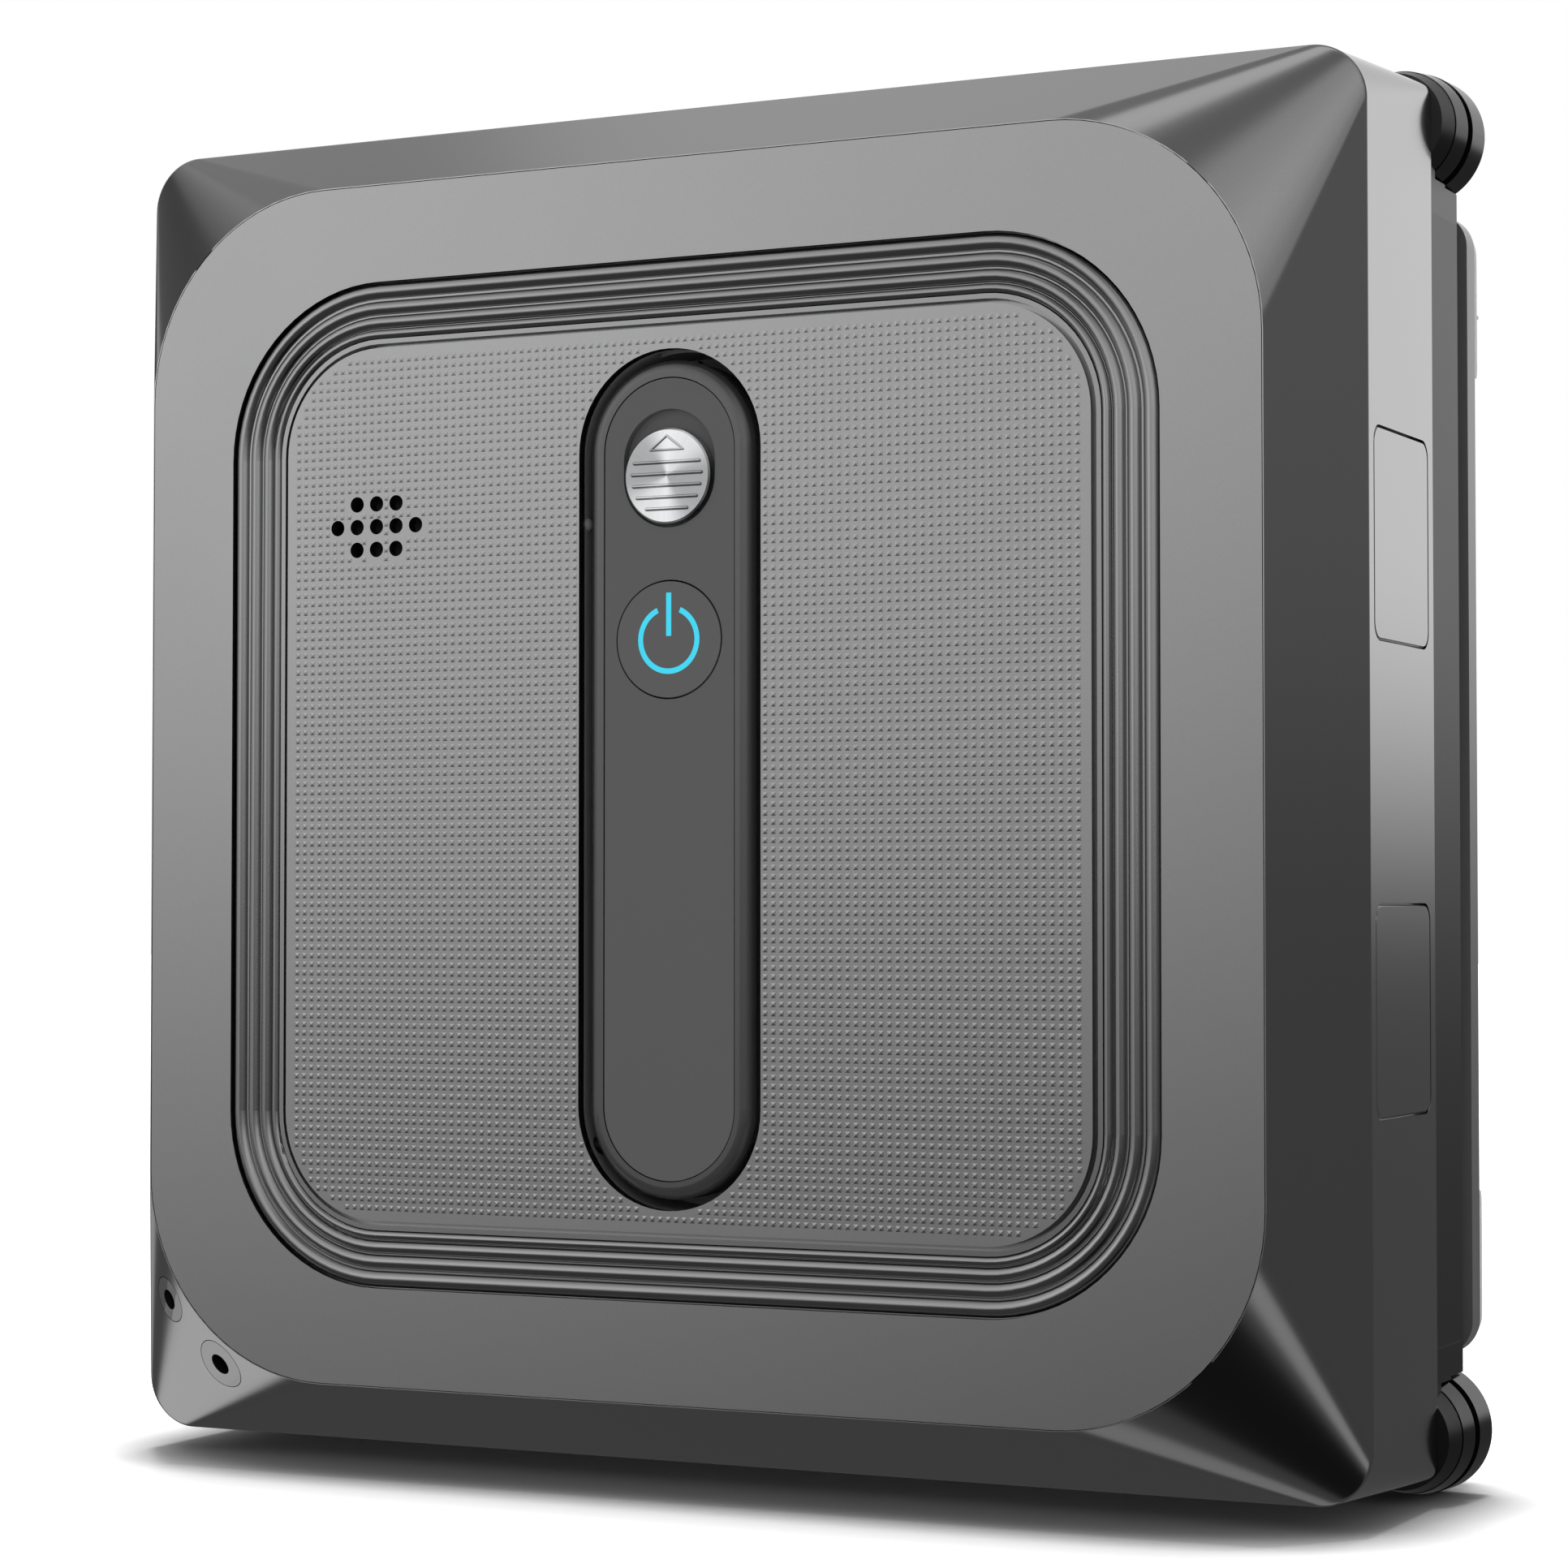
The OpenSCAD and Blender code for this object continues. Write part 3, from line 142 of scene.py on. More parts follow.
# the casing's lofted slope, in millimetres: half widths and corner radii at the face and at the side band,
# the rounded edge between the two, and how near a mesh normal has to be to the worked out one
slopeForm = {
    "depth": 17.5, "faceHalf": 108.0, "faceRadius": 37.2, "bandHalf": 120.0, "bandRadius": 9.7,
    "edge": 0.45, "match": 0.85}


def slopeNormal(tree, coords, f):
    # the true, unfaceted normal of slope and side band
    faceCentre = f["faceHalf"] - f["faceRadius"]
    bandCentre = f["bandHalf"] - f["bandRadius"]
    local = addNode(tree, "VectorMath", {0: coords, 1: at(0, 0, 0)}, "SUBTRACT")
    depth = addNode(tree, "SeparateXYZ", {"Vector": local}).outputs["Y"]
    centre = addNode(tree, "MapRange", {
        "Value": depth, "From Min": 0.0, "From Max": f["depth"] / 1000, "To Min": faceCentre / 1000,
        "To Max": bandCentre / 1000})
    away = addNode(tree, "VectorMath", {0: local}, "ABSOLUTE")
    past = addNode(tree, "VectorMath", {0: away, 1: centre}, "SUBTRACT")
    cut = addNode(tree, "VectorMath", {0: past, 1: (0.0, 0.0, 0.0)}, "MAXIMUM")
    arm = addNode(tree, "VectorMath", {0: cut, 1: (1.0, 0.0, 1.0)}, "MULTIPLY")
    outward = addNode(tree, "VectorMath", {0: arm}, "NORMALIZE")
    # how fast the outline grows with depth along this arm, which tells how far the surface leans
    total = addNode(tree, "VectorMath", {0: outward, 1: (1.0, 1.0, 1.0)}, "DOT_PRODUCT")
    centreRun = (bandCentre - faceCentre) / f["depth"]
    radiusRun = (f["bandRadius"] - f["faceRadius"]) / f["depth"]
    growth = addNode(tree, "Math", {0: total, 1: centreRun, 2: radiusRun}, "MULTIPLY_ADD")
    edge = addNode(tree, "MapRange", {
        "Value": depth, "From Min": (f["depth"] - f["edge"]) / 1000,
        "From Max": (f["depth"] + f["edge"]) / 1000, "To Min": -1.0, "To Max": 0.0},
        interpolation_type="SMOOTHSTEP")
    front = addNode(tree, "Math", {0: growth, 1: edge}, "MULTIPLY")
    signs = addNode(tree, "VectorMath", {0: local}, "SIGN")
    sideways = addNode(tree, "VectorMath", {0: outward, 1: signs}, "MULTIPLY")
    joined = addNode(tree, "VectorMath", {0: sideways, 1: addNode(tree, "CombineXYZ", {"Y": front})}, "ADD")
    unit = addNode(tree, "VectorMath", {0: joined}, "NORMALIZE")
    world = addNode(tree, "VectorTransform", {
        "Vector": unit}, vector_type="NORMAL", convert_from="OBJECT", convert_to="WORLD")
    # walls and rims of the same mesh keep their own normal
    given = addNode(tree, "NewGeometry").outputs["Normal"]
    match = addNode(tree, "VectorMath", {0: world, 1: given}, "DOT_PRODUCT")
    close = addNode(tree, "Math", {0: match, 1: f["match"]}, "GREATER_THAN")
    return addNode(tree, "Mix", {"Factor": close, "A": given, "B": world}, data_type="VECTOR")


# painted shade on the rear chassis's corners by the rollers, in millimetres: how far out it begins, and its
# soft edge
cornerShadePaint = {"from": 98.0, "blend": 0.5, "colour": "#0D0D0E"}


def metallicLacquer(name, hexColour, rough, peelDepth=0.0, peelMm=1.6, metallic=1.0, edgeShine=1.0, form=None,
                    paintedShade=None):
    # sprayed lacquer over ABS: metal flakes too fine to tell apart, and a little orange peel
    mat, tree, shader, coords = newMaterial(name, {
        "Metallic": metallic, "Specular Tint": (edgeShine, edgeShine, edgeShine, 1.0)})
    base = linear(hexColour)
    flakes = addNode(tree, "TexVoronoi", {"Vector": coords, "Scale": 1000 / pattern["flake"]})
    shine = addNode(tree, "SeparateColor", {"Color": flakes.outputs["Color"]})
    colour = addNode(tree, "Mix", {
        "Factor": shine.outputs["Red"], "A": tinted(base, 0.985), "B": tinted(base, 1.015)},
        data_type="RGBA")
    if paintedShade:
        # painted shade: the corners by the rollers turn black and lose their metal
        local = addNode(tree, "VectorMath", {0: coords, 1: at(0, 0, 0)}, "SUBTRACT")
        away = addNode(tree, "VectorMath", {0: local}, "ABSOLUTE")
        place = addNode(tree, "SeparateXYZ", {"Vector": away})
        least = addNode(tree, "Math", {0: place.outputs["X"], 1: place.outputs["Z"]}, "MINIMUM")
        black = addNode(tree, "MapRange", {
            "Value": least, "From Min": (paintedShade["from"] - paintedShade["blend"]) / 1000,
            "From Max": paintedShade["from"] / 1000})
        colour = addNode(tree, "Mix", {
            "Factor": black, "A": colour, "B": linear(paintedShade["colour"])}, data_type="RGBA")
        metal = addNode(tree, "Math", {0: black, 1: -metallic, 2: metallic}, "MULTIPLY_ADD")
        setInputs(tree, shader, {"Metallic": metal})
    if peelDepth:
        waves = addNode(tree, "TexNoise", {"Vector": coords, "Scale": 1000 / peelMm, "Detail": 1.0})
        bump = addNode(tree, "Bump", {"Height": waves, "Strength": 0.25, "Distance": peelDepth / 1000})
        if form:
            setInputs(tree, bump, {"Normal": slopeNormal(tree, coords, form)})
        setInputs(tree, shader, {"Normal": bump})
    smear = addNode(tree, "TexNoise", {"Vector": coords, "Scale": 1000 / pattern["smear"], "Detail": 5.0})
    gloss = addNode(tree, "MapRange", {"Value": smear, "To Min": rough * 0.9, "To Max": rough * 1.1})
    setInputs(tree, shader, {"Base Color": colour, "Roughness": gloss})
    return mat


def workedMetal(name, hexColour, rough, lineMm, axis):
    # turned, ground or rolled metal: fine lines along one way, and a gloss that changes with them
    mat, tree, shader, coords = newMaterial(name, {"Metallic": 1.0})
    base = linear(hexColour)
    stretch = [1000 / lineMm] * 3
    stretch[axis] = 1000 / pattern["rollStreak"]
    lined = addNode(tree, "Mapping", {"Vector": coords, "Scale": stretch})
    lines = addNode(tree, "TexNoise", {"Vector": lined, "Scale": 1.0, "Detail": 4.0})
    stain = addNode(tree, "TexNoise", {"Vector": coords, "Scale": 1000 / pattern["stain"], "Detail": 3.0})
    colour = addNode(tree, "Mix", {"Factor": stain, "A": tinted(base, 0.82), "B": base}, data_type="RGBA")
    gloss = addNode(tree, "MapRange", {"Value": lines, "To Min": rough * 0.75, "To Max": rough * 1.25})
    bump = addNode(tree, "Bump", {"Height": lines, "Strength": 0.4, "Distance": pattern["lineDepth"] / 1000})
    setInputs(tree, shader, {"Base Color": colour, "Roughness": gloss, "Normal": bump})
    return mat


# the slider's disc: its middle in millimetres, the fans of its painted reflection by angle, and its brush
# lines
sliderDisc = {
    "front": -0.8, "middleZ": 52.3, "fanTurn": -2.3, "darkTo": -0.6, "brightFrom": 0.9, "dark": "#B4B5B6",
    "bright": "#EEEFF0", "linesAround": 55.0, "linesOutward": 60.0}


def brushedDisc(name, d):
    # aluminium brushed outwards from the disc's middle, with a painted reflection: bright and dark fans in
    # its colour that meet there
    mat, tree, shader, coords = newMaterial(name, {"Metallic": 1.0, "Anisotropic": 0.75})
    arm = addNode(tree, "VectorMath", {0: coords, 1: at(0, d["front"], d["middleZ"])}, "SUBTRACT")
    part = addNode(tree, "SeparateXYZ", {"Vector": arm})
    turn = addNode(tree, "Math", {0: part.outputs["Z"], 1: part.outputs["X"]}, "ARCTAN2")
    doubled = addNode(tree, "Math", {0: turn, 1: 2.0, 2: d["fanTurn"]}, "MULTIPLY_ADD")
    wave = addNode(tree, "Math", {0: doubled}, "COSINE")
    fan = addNode(tree, "MapRange", {
        "Value": wave, "From Min": d["darkTo"], "From Max": d["brightFrom"]},
        interpolation_type="SMOOTHSTEP")
    # painted reflection: the colour runs between dark and bright fans by the angle round the disc's middle
    colour = addNode(tree, "Mix", {
        "Factor": fan, "A": linear(d["dark"]), "B": linear(d["bright"])}, data_type="RGBA")
    reach = addNode(tree, "VectorMath", {0: arm}, "LENGTH")
    polar = addNode(tree, "CombineXYZ", {"X": turn, "Y": reach})
    stretched = addNode(tree, "Mapping", {
        "Vector": polar, "Scale": (d["linesAround"], d["linesOutward"], 1.0)})
    scratches = addNode(tree, "TexNoise", {"Vector": stretched, "Scale": 1.0, "Detail": 5.0})
    gloss = addNode(tree, "MapRange", {"Value": scratches, "To Min": 0.22, "To Max": 0.38})
    bump = addNode(tree, "Bump", {
        "Height": scratches, "Strength": 0.35, "Distance": pattern["scratchDepth"] / 1000})
    around = addNode(tree, "VectorMath", {0: arm, 1: (0.0, 1.0, 0.0)}, "CROSS_PRODUCT")
    setInputs(tree, shader, {"Base Color": colour, "Roughness": gloss, "Normal": bump, "Tangent": around})
    return mat


def castRubber(name, hexColour, rough, grainMm):
    # moulded rubber: soft sheen, pitted skin, dust that greys it a little
    mat, tree, shader, coords = newMaterial(name, {
        "IOR": 1.52, "Sheen Weight": 0.15, "Sheen Roughness": 0.4})
    base = linear(hexColour)
    dust = addNode(tree, "TexNoise", {"Vector": coords, "Scale": 1000 / pattern["dust"], "Detail": 6.0})
    colour = addNode(tree, "Mix", {"Factor": dust, "A": base, "B": tinted(base, 1.8)}, data_type="RGBA")
    gloss = addNode(tree, "MapRange", {
        "Value": dust, "To Min": rough * 0.85, "To Max": min(1.0, rough * 1.15)})
    pits = addNode(tree, "TexVoronoi", {"Vector": coords, "Scale": 1000 / grainMm})
    bump = addNode(tree, "Bump", {"Height": pits, "Strength": 0.4, "Distance": pattern["pitDepth"] / 1000})
    setInputs(tree, shader, {"Base Color": colour, "Roughness": gloss, "Normal": bump})
    return mat


def microfibreCloth(name, hexColour):
    # split polyester microfibre: pale, very soft edge light, tufts with shaded roots
    mat, tree, shader, coords = newMaterial(name, {
        "Roughness": 0.95, "Sheen Weight": 0.6, "Sheen Roughness": 0.5, "IOR": 1.45})
    base = linear(hexColour)
    loops = addNode(tree, "TexVoronoi", {"Vector": coords, "Scale": 1000 / pattern["pileLoop"]})
    fibres = addNode(tree, "TexNoise", {
        "Vector": coords, "Scale": 1000 / pattern["pileFibre"], "Detail": 4.0})
    blend = addNode(tree, "Math", {0: loops, 1: fibres}, "MULTIPLY")
    colour = addNode(tree, "Mix", {"Factor": blend, "A": base, "B": tinted(base, 0.7)}, data_type="RGBA")
    bump = addNode(tree, "Bump", {
        "Height": fibres, "Strength": 0.6, "Distance": pattern["pileDepth"] / 1000})
    setInputs(tree, shader, {"Base Color": colour, "Normal": bump})
    return mat


def circuitBoard(name):
    # glass fibre board under green solder mask: copper tracks show as paler lines and squares
    mat, tree, shader, coords = newMaterial(name, {"Roughness": 0.35, "Coat Weight": 0.4})
    tracks = addNode(tree, "TexBrick", {
        "Vector": coords, "Scale": 1000 / pattern["boardTrack"], "Mortar Size": 0.06,
        "Color1": linear("#0E3B22"), "Color2": linear("#11472A"), "Mortar": linear("#2C7048")})
    weave = addNode(tree, "TexNoise", {"Vector": coords, "Scale": 1000 / pattern["boardWeave"]})
    bump = addNode(tree, "Bump", {
        "Height": weave, "Strength": 0.2, "Distance": pattern["weaveDepth"] / 1000})
    setInputs(tree, shader, {"Base Color": tracks, "Normal": bump})
    return mat


def litAcrylic(name, hexColour, strength):
    # acrylic lit from behind: one even, saturated colour that is a little weaker in soft patches
    mat, tree, shader, coords = newMaterial(name, {
        "Base Color": linear("#123C44"), "Roughness": 0.3, "Emission Strength": strength})
    base = linear(hexColour)
    drift = addNode(tree, "TexNoise", {
        "Vector": coords, "Scale": 1000 / pattern["glowDrift"], "Detail": 1.0})
    colour = addNode(tree, "Mix", {"Factor": drift, "A": base, "B": tinted(base, 0.92)}, data_type="RGBA")
    setInputs(tree, shader, {"Emission Color": colour})
    return mat


finishes = {
    # satin silver-grey lacquer on the face: reflects as soft, wide gradients
    "face": metallicLacquer("satinLacquerFace", "#9D9D9E", 0.28),
    # the same lacquer polished, on slope and side band: mirrors the studio, with sharp streaks at the corners
    "shell": metallicLacquer("glossLacquerShell", "#A6A6A7", 0.17, 0.002, peelMm=2.5, form=slopeForm),
    # the shell's lacquer on its rear corners, which narrow from a wide to a tight radius
    "corner": metallicLacquer("glossLacquerCorner", "#A6A6A7", 0.17, 0.002, peelMm=2.5),
    # polished lacquer on the beads, so that each carries a bright and a dark line
    "beads": metallicLacquer("glossLacquerBeads", "#929293", 0.22, 0.001),
    # pressed panel under thin satin lacquer: every small pyramid shows a light and a shaded side
    "panel": metallicLacquer("satinLacquerPanel", "#9F9FA0", 0.28, 0.001),
    # fine dark ABS in the well: grey where light reaches its wall, black farther in
    "well": mouldedPlastic("darkAbsWell", "#88888A", 0.45, 0.6, 0.004),
    # dark gloss lacquer: a clear highlight runs along the handle's rounded edge
    "handle": metallicLacquer("darkLacquerHandle", "#5E5E5F", 0.26, 0.001, metallic=0.6),
    # soft-touch paint: even matte grey with hardly any highlight
    "strip": mouldedPlastic("softTouchStrip", "#656565", 0.62, 0.3, 0.006, flow=0.02),
    "button": mouldedPlastic("softTouchButton", "#676767", 0.6, 0.3, 0.006, flow=0.02),
    # brushed aluminium: near white, with a painted reflection of bright and dark fans that meet in the middle
    "slider": brushedDisc("brushedAluminiumSlider", sliderDisc),
    # zinc plated steel: cool, slightly cloudy metal on screws and pins
    "zinc": workedMetal("zincPlatedSteel", "#B9BCBF", 0.35, 0.3, 1),
    # black oxide: dark steel that doesn't flash in the handle's gap
    "oxide": workedMetal("blackOxideSteel", "#2A2A2C", 0.4, 0.3, 0),
    # ground steel: bright, with lines along the axle
    "axleSteel": workedMetal("groundSteelAxle", "#C2C4C6", 0.22, 0.15, 0),
    # galvanised sheet: duller, with rolling lines
    "sheetSteel": workedMetal("galvanisedSheetSteel", "#9FA3A6", 0.42, 0.5, 2),
    # drawn steel: smooth motor cans with faint drawing lines
    "motorCan": workedMetal("drawnSteelMotorCan", "#A8ABAE", 0.3, 0.4, 0),
    # machined brass: warm and sharp on the small pinions
    "brass": workedMetal("machinedBrass", "#C9A24B", 0.25, 0.15, 0),
    # glass fibre board: green mask with paler tracks
    "board": circuitBoard("solderMaskBoard"),
    # tinted acrylic behind the button, lit faintly
    "light": litAcrylic("tintedAcrylicGuide", "#2FD3F0", 0.6),
    # the lit sign: one flat cyan that stands out from the matte strip
    "sign": litAcrylic("backlitSign", "#2FD3F0", 1.0),
    # plain black ABS with a fine grain, on what is seen only in gaps
    "blackAbs": mouldedPlastic("fineBlackAbs", "#141415", 0.5, 0.4, 0.006),
    # satin lacquer over spark eroded ABS: duller and darker than the shell, with painted shade that blackens
    # its corners by the rollers
    "chassis": metallicLacquer("satinLacquerChassis", "#5F5F60", 0.32, 0.004, peelMm=0.8, metallic=0.95,
                               edgeShine=0.72, paintedShade=cornerShadePaint),
    # silicone: soft, nearly black line between casing and chassis
    "seal": castRubber("siliconeSeal", "#151516", 0.6, 0.5),
    # shrink film: glossy blue with soft creases round the cells
    "film": mouldedPlastic("shrinkFilmBattery", "#2A5C9A", 0.3, 4.0, 0.05, coat=0.3),
    # glass filled nylon: dull grey fan parts
    "fan": mouldedPlastic("glassFilledNylonFan", "#4A4A4C", 0.48, 0.5, 0.006),
    # satin ABS plate: smoother and paler than the chassis
    "plate": mouldedPlastic("satinAbsPlate", "#6A6A6C", 0.3, 0.5, 0.003, coat=0.2),
    # microfibre: pale, dull pile on the back of the pad
    "pad": microfibreCloth("microfibrePad", "#DADADA"),
    # polyester thread: greyer than the pile that it holds down
    "thread": microfibreCloth("polyesterThread", "#8E8E90"),
    # polyurethane: deep black rollers with wet-looking highlights
    "roller": mouldedPlastic("polyurethaneRoller", "#0A0A0B", 0.22, 1.2, 0.001, ior=1.35, coat=0.12),
    # nitrile rubber belt: matte and slightly dusty
    "belt": castRubber("nitrileTrackBelt", "#1B1B1C", 0.65, 0.7),
    # natural nylon: warm off-white gears
    "nylon": mouldedPlastic("naturalNylonGear", "#DAD6C6", 0.42, 0.6, 0.004),
    # grey ABS pulleys
    "greyAbs": mouldedPlastic("greyAbsPulley", "#6B6B6D", 0.45, 0.5, 0.006),
    # lacquered insert rings in the slope, as bright as the shell but duller
    "insert": metallicLacquer("satinLacquerInsert", "#A6A6A7", 0.26, 0.001),
}
print("materials made:", len(finishes))

# the casing's four corners: how their pieces' names end, the side cover there, and the way across and up
fourCorners = [{"end": "RightUpper", "cover": "side_cover_right_upper", "side": 1, "up": 1},
               {"end": "RightLower", "cover": "side_cover_right_lower", "side": 1, "up": -1},
               {"end": "LeftUpper", "cover": "side_cover_left_upper", "side": -1, "up": 1},
               {"end": "LeftLower", "cover": "side_cover_left_lower", "side": -1, "up": -1}]

# which finish each node of the frame carries
nodeFinish = {
    "shell": ["front_shell"] + [corner["cover"] for corner in fourCorners],
    "face": ["face_plate"], "beads": ["face_ring"], "panel": ["centre_panel"], "well": ["handle_well"],
    "handle": ["handle_frame"], "strip": ["control_strip"], "button": ["power_button"],
    "slider": ["latch_slider"], "zinc": ["chassis_screws", "plate_screws", "roller_pins"],
    "oxide": ["latch_bolt", "handle_hinge_pin"],
    "axleSteel": ["fan_shaft", "right_drive_axle", "left_drive_axle", "idler_axles"],
    "sheetSteel": ["right_track_frame", "left_track_frame"],
    "motorCan": ["fan_motor", "right_drive_motor", "left_drive_motor"],
    "brass": ["right_motor_pinion", "left_motor_pinion"], "board": ["switch_board", "main_board"],
    "light": ["light_guide"], "blackAbs": ["speaker", "plinth", "inlet_grille"], "chassis": ["rear_chassis"],
    "seal": ["speaker_gasket", "chassis_seal"], "film": ["battery_pack"],
    "fan": ["fan_housing", "fan_inlet_ring", "fan_impeller"], "plate": ["base_plate"],
    "pad": ["cleaning_pad"], "belt": ["right_track", "left_track"],
    "nylon": ["right_drive_gear", "left_drive_gear"],
    "roller": ["roller_right_upper", "roller_right_lower", "roller_left_upper", "roller_left_lower"],
    "greyAbs": ["right_drive_pulley", "left_drive_pulley", "right_idler_pulley", "left_idler_pulley"],
    "insert": ["power_socket", "rope_anchor"],
}
for finish, names in nodeFinish.items():
    for name in names:
        for materialSlot in nodes[name].material_slots:
            materialSlot.material = finishes[finish]
print("frame nodes dressed:", sum(len(names) for names in nodeFinish.values()))


def addObject(name, data):
    # a new object in the scene
    made = bpy.data.objects.new(name, data)
    bpy.context.collection.objects.link(made)
    return made


def newPiece(name, mesh, body, finish):
    # a finished mesh as an object at the origin that rides on a body
    piece = addObject(name, mesh)
    if not mesh.materials:
        mesh.materials.append(finishes[finish])
    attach(piece, body)
    return piece


def plainMesh(holder, name):
    # an object's finished form as a plain mesh, after which the object goes
    mesh = bpy.data.meshes.new_from_object(holder.evaluated_get(bpy.context.evaluated_depsgraph_get()))
    mesh.name = name
    bpy.data.objects.remove(holder)
    return mesh


def newTree(name, inputs):
    # a node tree with named inputs and one output, and the sockets that give its inputs
    tree = bpy.data.node_groups.new(name, "GeometryNodeTree")
    for key, kind in inputs.items():
        tree.interface.new_socket(name=key, in_out="INPUT", socket_type="NodeSocket" + kind)
    tree.interface.new_socket(name="Geometry", in_out="OUTPUT", socket_type="NodeSocketGeometry")
    return tree, tree.nodes.new("NodeGroupInput").outputs


def closeTree(tree, geometry, finish):
    # how each tree ends: real geometry in its finish
    real = addNode(tree, "GeometryNodeRealizeInstances", {"Geometry": geometry})
    dressed = addNode(tree, "GeometryNodeSetMaterial", {"Geometry": real, "Material": finish})
    addNode(tree, "NodeGroupOutput", {"Geometry": dressed})
    return tree


def bakeTree(name, tree, values, start=None):
    # runs a tree on a start mesh, or on an empty one, and gives back the plain mesh that it makes
    holder = addObject(name + "Maker", start or bpy.data.meshes.new(name + "Start"))
    modifier = holder.modifiers.new("maker", "NODES")
    modifier.node_group = tree
    for item in tree.interface.items_tree:
        if item.item_type == "SOCKET" and item.in_out == "INPUT" and item.name in values:
            modifier[item.identifier] = values[item.name]
    return plainMesh(holder, name)


# pyramids of the centre panel, in millimetres
pyramidField = {
    "panelHalf": 78.0, "panelRadius": 18.7, "pitch": 1.55, "height": 0.07, "footShare": 0.62,
    "wellWidth": 35.5, "wellLength": 149.0, "speakerX": -59.4, "speakerZ": 46.1, "speakerPitch": 4.1,
    "speakerHole": 2.8, "speakerRows": ((5, 0), (3, -1), (3, 1)), "edge": 0.6}


def pyramidTree(p):
    # a grid of four-sided pyramids, left out past the panel's outline, over the well and at the speaker
    tree, given = newTree("pyramidField", {
        "Count": "Int", "Span": "Float", "Foot reach": "Float", "Height": "Float", "Panel core": "Vector",
        "Panel reach": "Float", "Well core": "Vector", "Well reach": "Float", "Speaker middle": "Vector",
        "Speaker pitch": "Float", "Hole reach": "Float", "Place": "Vector", "Finish": "Material"})
    grid = addNode(tree, "GeometryNodeMeshGrid", {
        "Size X": given["Span"], "Size Y": given["Span"], "Vertices X": given["Count"],
        "Vertices Y": given["Count"]})
    spot = addNode(tree, "GeometryNodeInputPosition")
    away = addNode(tree, "VectorMath", {0: spot}, "ABSOLUTE")
    # outside the panel's rounded outline, inside the well's round-ended one
    tests = []
    for outline, side in (("Panel", "GREATER_THAN"), ("Well", "LESS_THAN")):
        past = addNode(tree, "VectorMath", {0: away, 1: given[outline + " core"]}, "SUBTRACT")
        cut = addNode(tree, "VectorMath", {0: past, 1: (0.0, 0.0, 0.0)}, "MAXIMUM")
        reach = addNode(tree, "VectorMath", {0: cut}, "LENGTH")
        tests.append(addNode(tree, "FunctionNodeCompare", {0: reach, 1: given[outline + " reach"]}, side))
    # near one of the speaker's holes, each row given by its number of holes and its place up
    holes = tree.nodes.new("GeometryNodeJoinGeometry")
    step = addNode(tree, "CombineXYZ", {"X": given["Speaker pitch"]})
    for count, up in p["speakerRows"]:
        first = addNode(tree, "VectorMath", {
            0: given["Speaker pitch"], 1: ((1 - count) / 2, up, 0.0), 2: given["Speaker middle"]},
            "MULTIPLY_ADD")
        row = addNode(tree, "GeometryNodeMeshLine", {
            "Count": count, "Start Location": first, "Offset": step})
        tree.links.new(row.outputs["Mesh"], holes.inputs["Geometry"])
    near = addNode(tree, "GeometryNodeProximity", {0: holes}, target_element="POINTS").outputs["Distance"]
    tests.append(addNode(tree, "FunctionNodeCompare", {0: near, 1: given["Hole reach"]}, "LESS_THAN"))
    either = addNode(tree, "FunctionNodeBooleanMath", {0: tests[0], 1: tests[1]}, "OR")
    gone = addNode(tree, "FunctionNodeBooleanMath", {0: either, 1: tests[2]}, "OR")
    kept = addNode(tree, "GeometryNodeDeleteGeometry", {"Geometry": grid, "Selection": gone}, domain="POINT")
    # one pyramid, its sides along the rows, and all of them turned so that the tips point out of the face
    pyramid = addNode(tree, "GeometryNodeMeshCone", {
        "Vertices": 4, "Side Segments": 1, "Fill Segments": 1, "Radius Top": 0.0,
        "Radius Bottom": given["Foot reach"], "Depth": given["Height"]}, fill_type="NGON")
    squared = addNode(tree, "GeometryNodeTransform", {
        "Geometry": pyramid, "Rotation": (0.0, 0.0, math.pi / 4)})
    placed = addNode(tree, "GeometryNodeInstanceOnPoints", {"Points": kept, "Instance": squared})
    stood = addNode(tree, "GeometryNodeTransform", {
        "Geometry": placed, "Translation": given["Place"], "Rotation": (math.pi / 2, 0.0, 0.0)})
    return closeTree(tree, stood, given["Finish"])


def makePyramids(p):
    count = 2 * int(p["panelHalf"] / p["pitch"]) + 1
    panelCore = (p["panelHalf"] - p["panelRadius"]) / 1000
    wellCore = (p["wellLength"] - p["wellWidth"]) / 2000
    mesh = bakeTree("panelPyramids", pyramidTree(p), {
        "Count": count, "Span": (count - 1) * p["pitch"] / 1000, "Height": p["height"] / 1000,
        "Foot reach": p["pitch"] * p["footShare"] * math.sqrt(0.5) / 1000,
        "Panel core": (panelCore, panelCore, 0.0), "Panel reach": (p["panelRadius"] - p["edge"]) / 1000,
        "Well core": (0.0, wellCore, 0.0), "Well reach": (p["wellWidth"] / 2 + p["edge"]) / 1000,
        "Speaker middle": (p["speakerX"] / 1000, p["speakerZ"] / 1000, 0.0),
        "Speaker pitch": p["speakerPitch"] / 1000, "Hole reach": (p["speakerHole"] / 2 + p["edge"]) / 1000,
        "Place": at(0, 0, 0), "Finish": finishes["panel"]})
    newPiece("panelPyramids", mesh, "body", "panel")
    print("pyramids on the centre panel:", len(mesh.polygons) // 5)


makePyramids(pyramidField)


def arcPoints(x, z, radius, start, turn, steps):
    # points along a part of a circle, its angles in degrees
    angles = [math.radians(start + turn * i / steps) for i in range(steps + 1)]
    return [(x + radius * math.cos(a), z + radius * math.sin(a)) for a in angles]


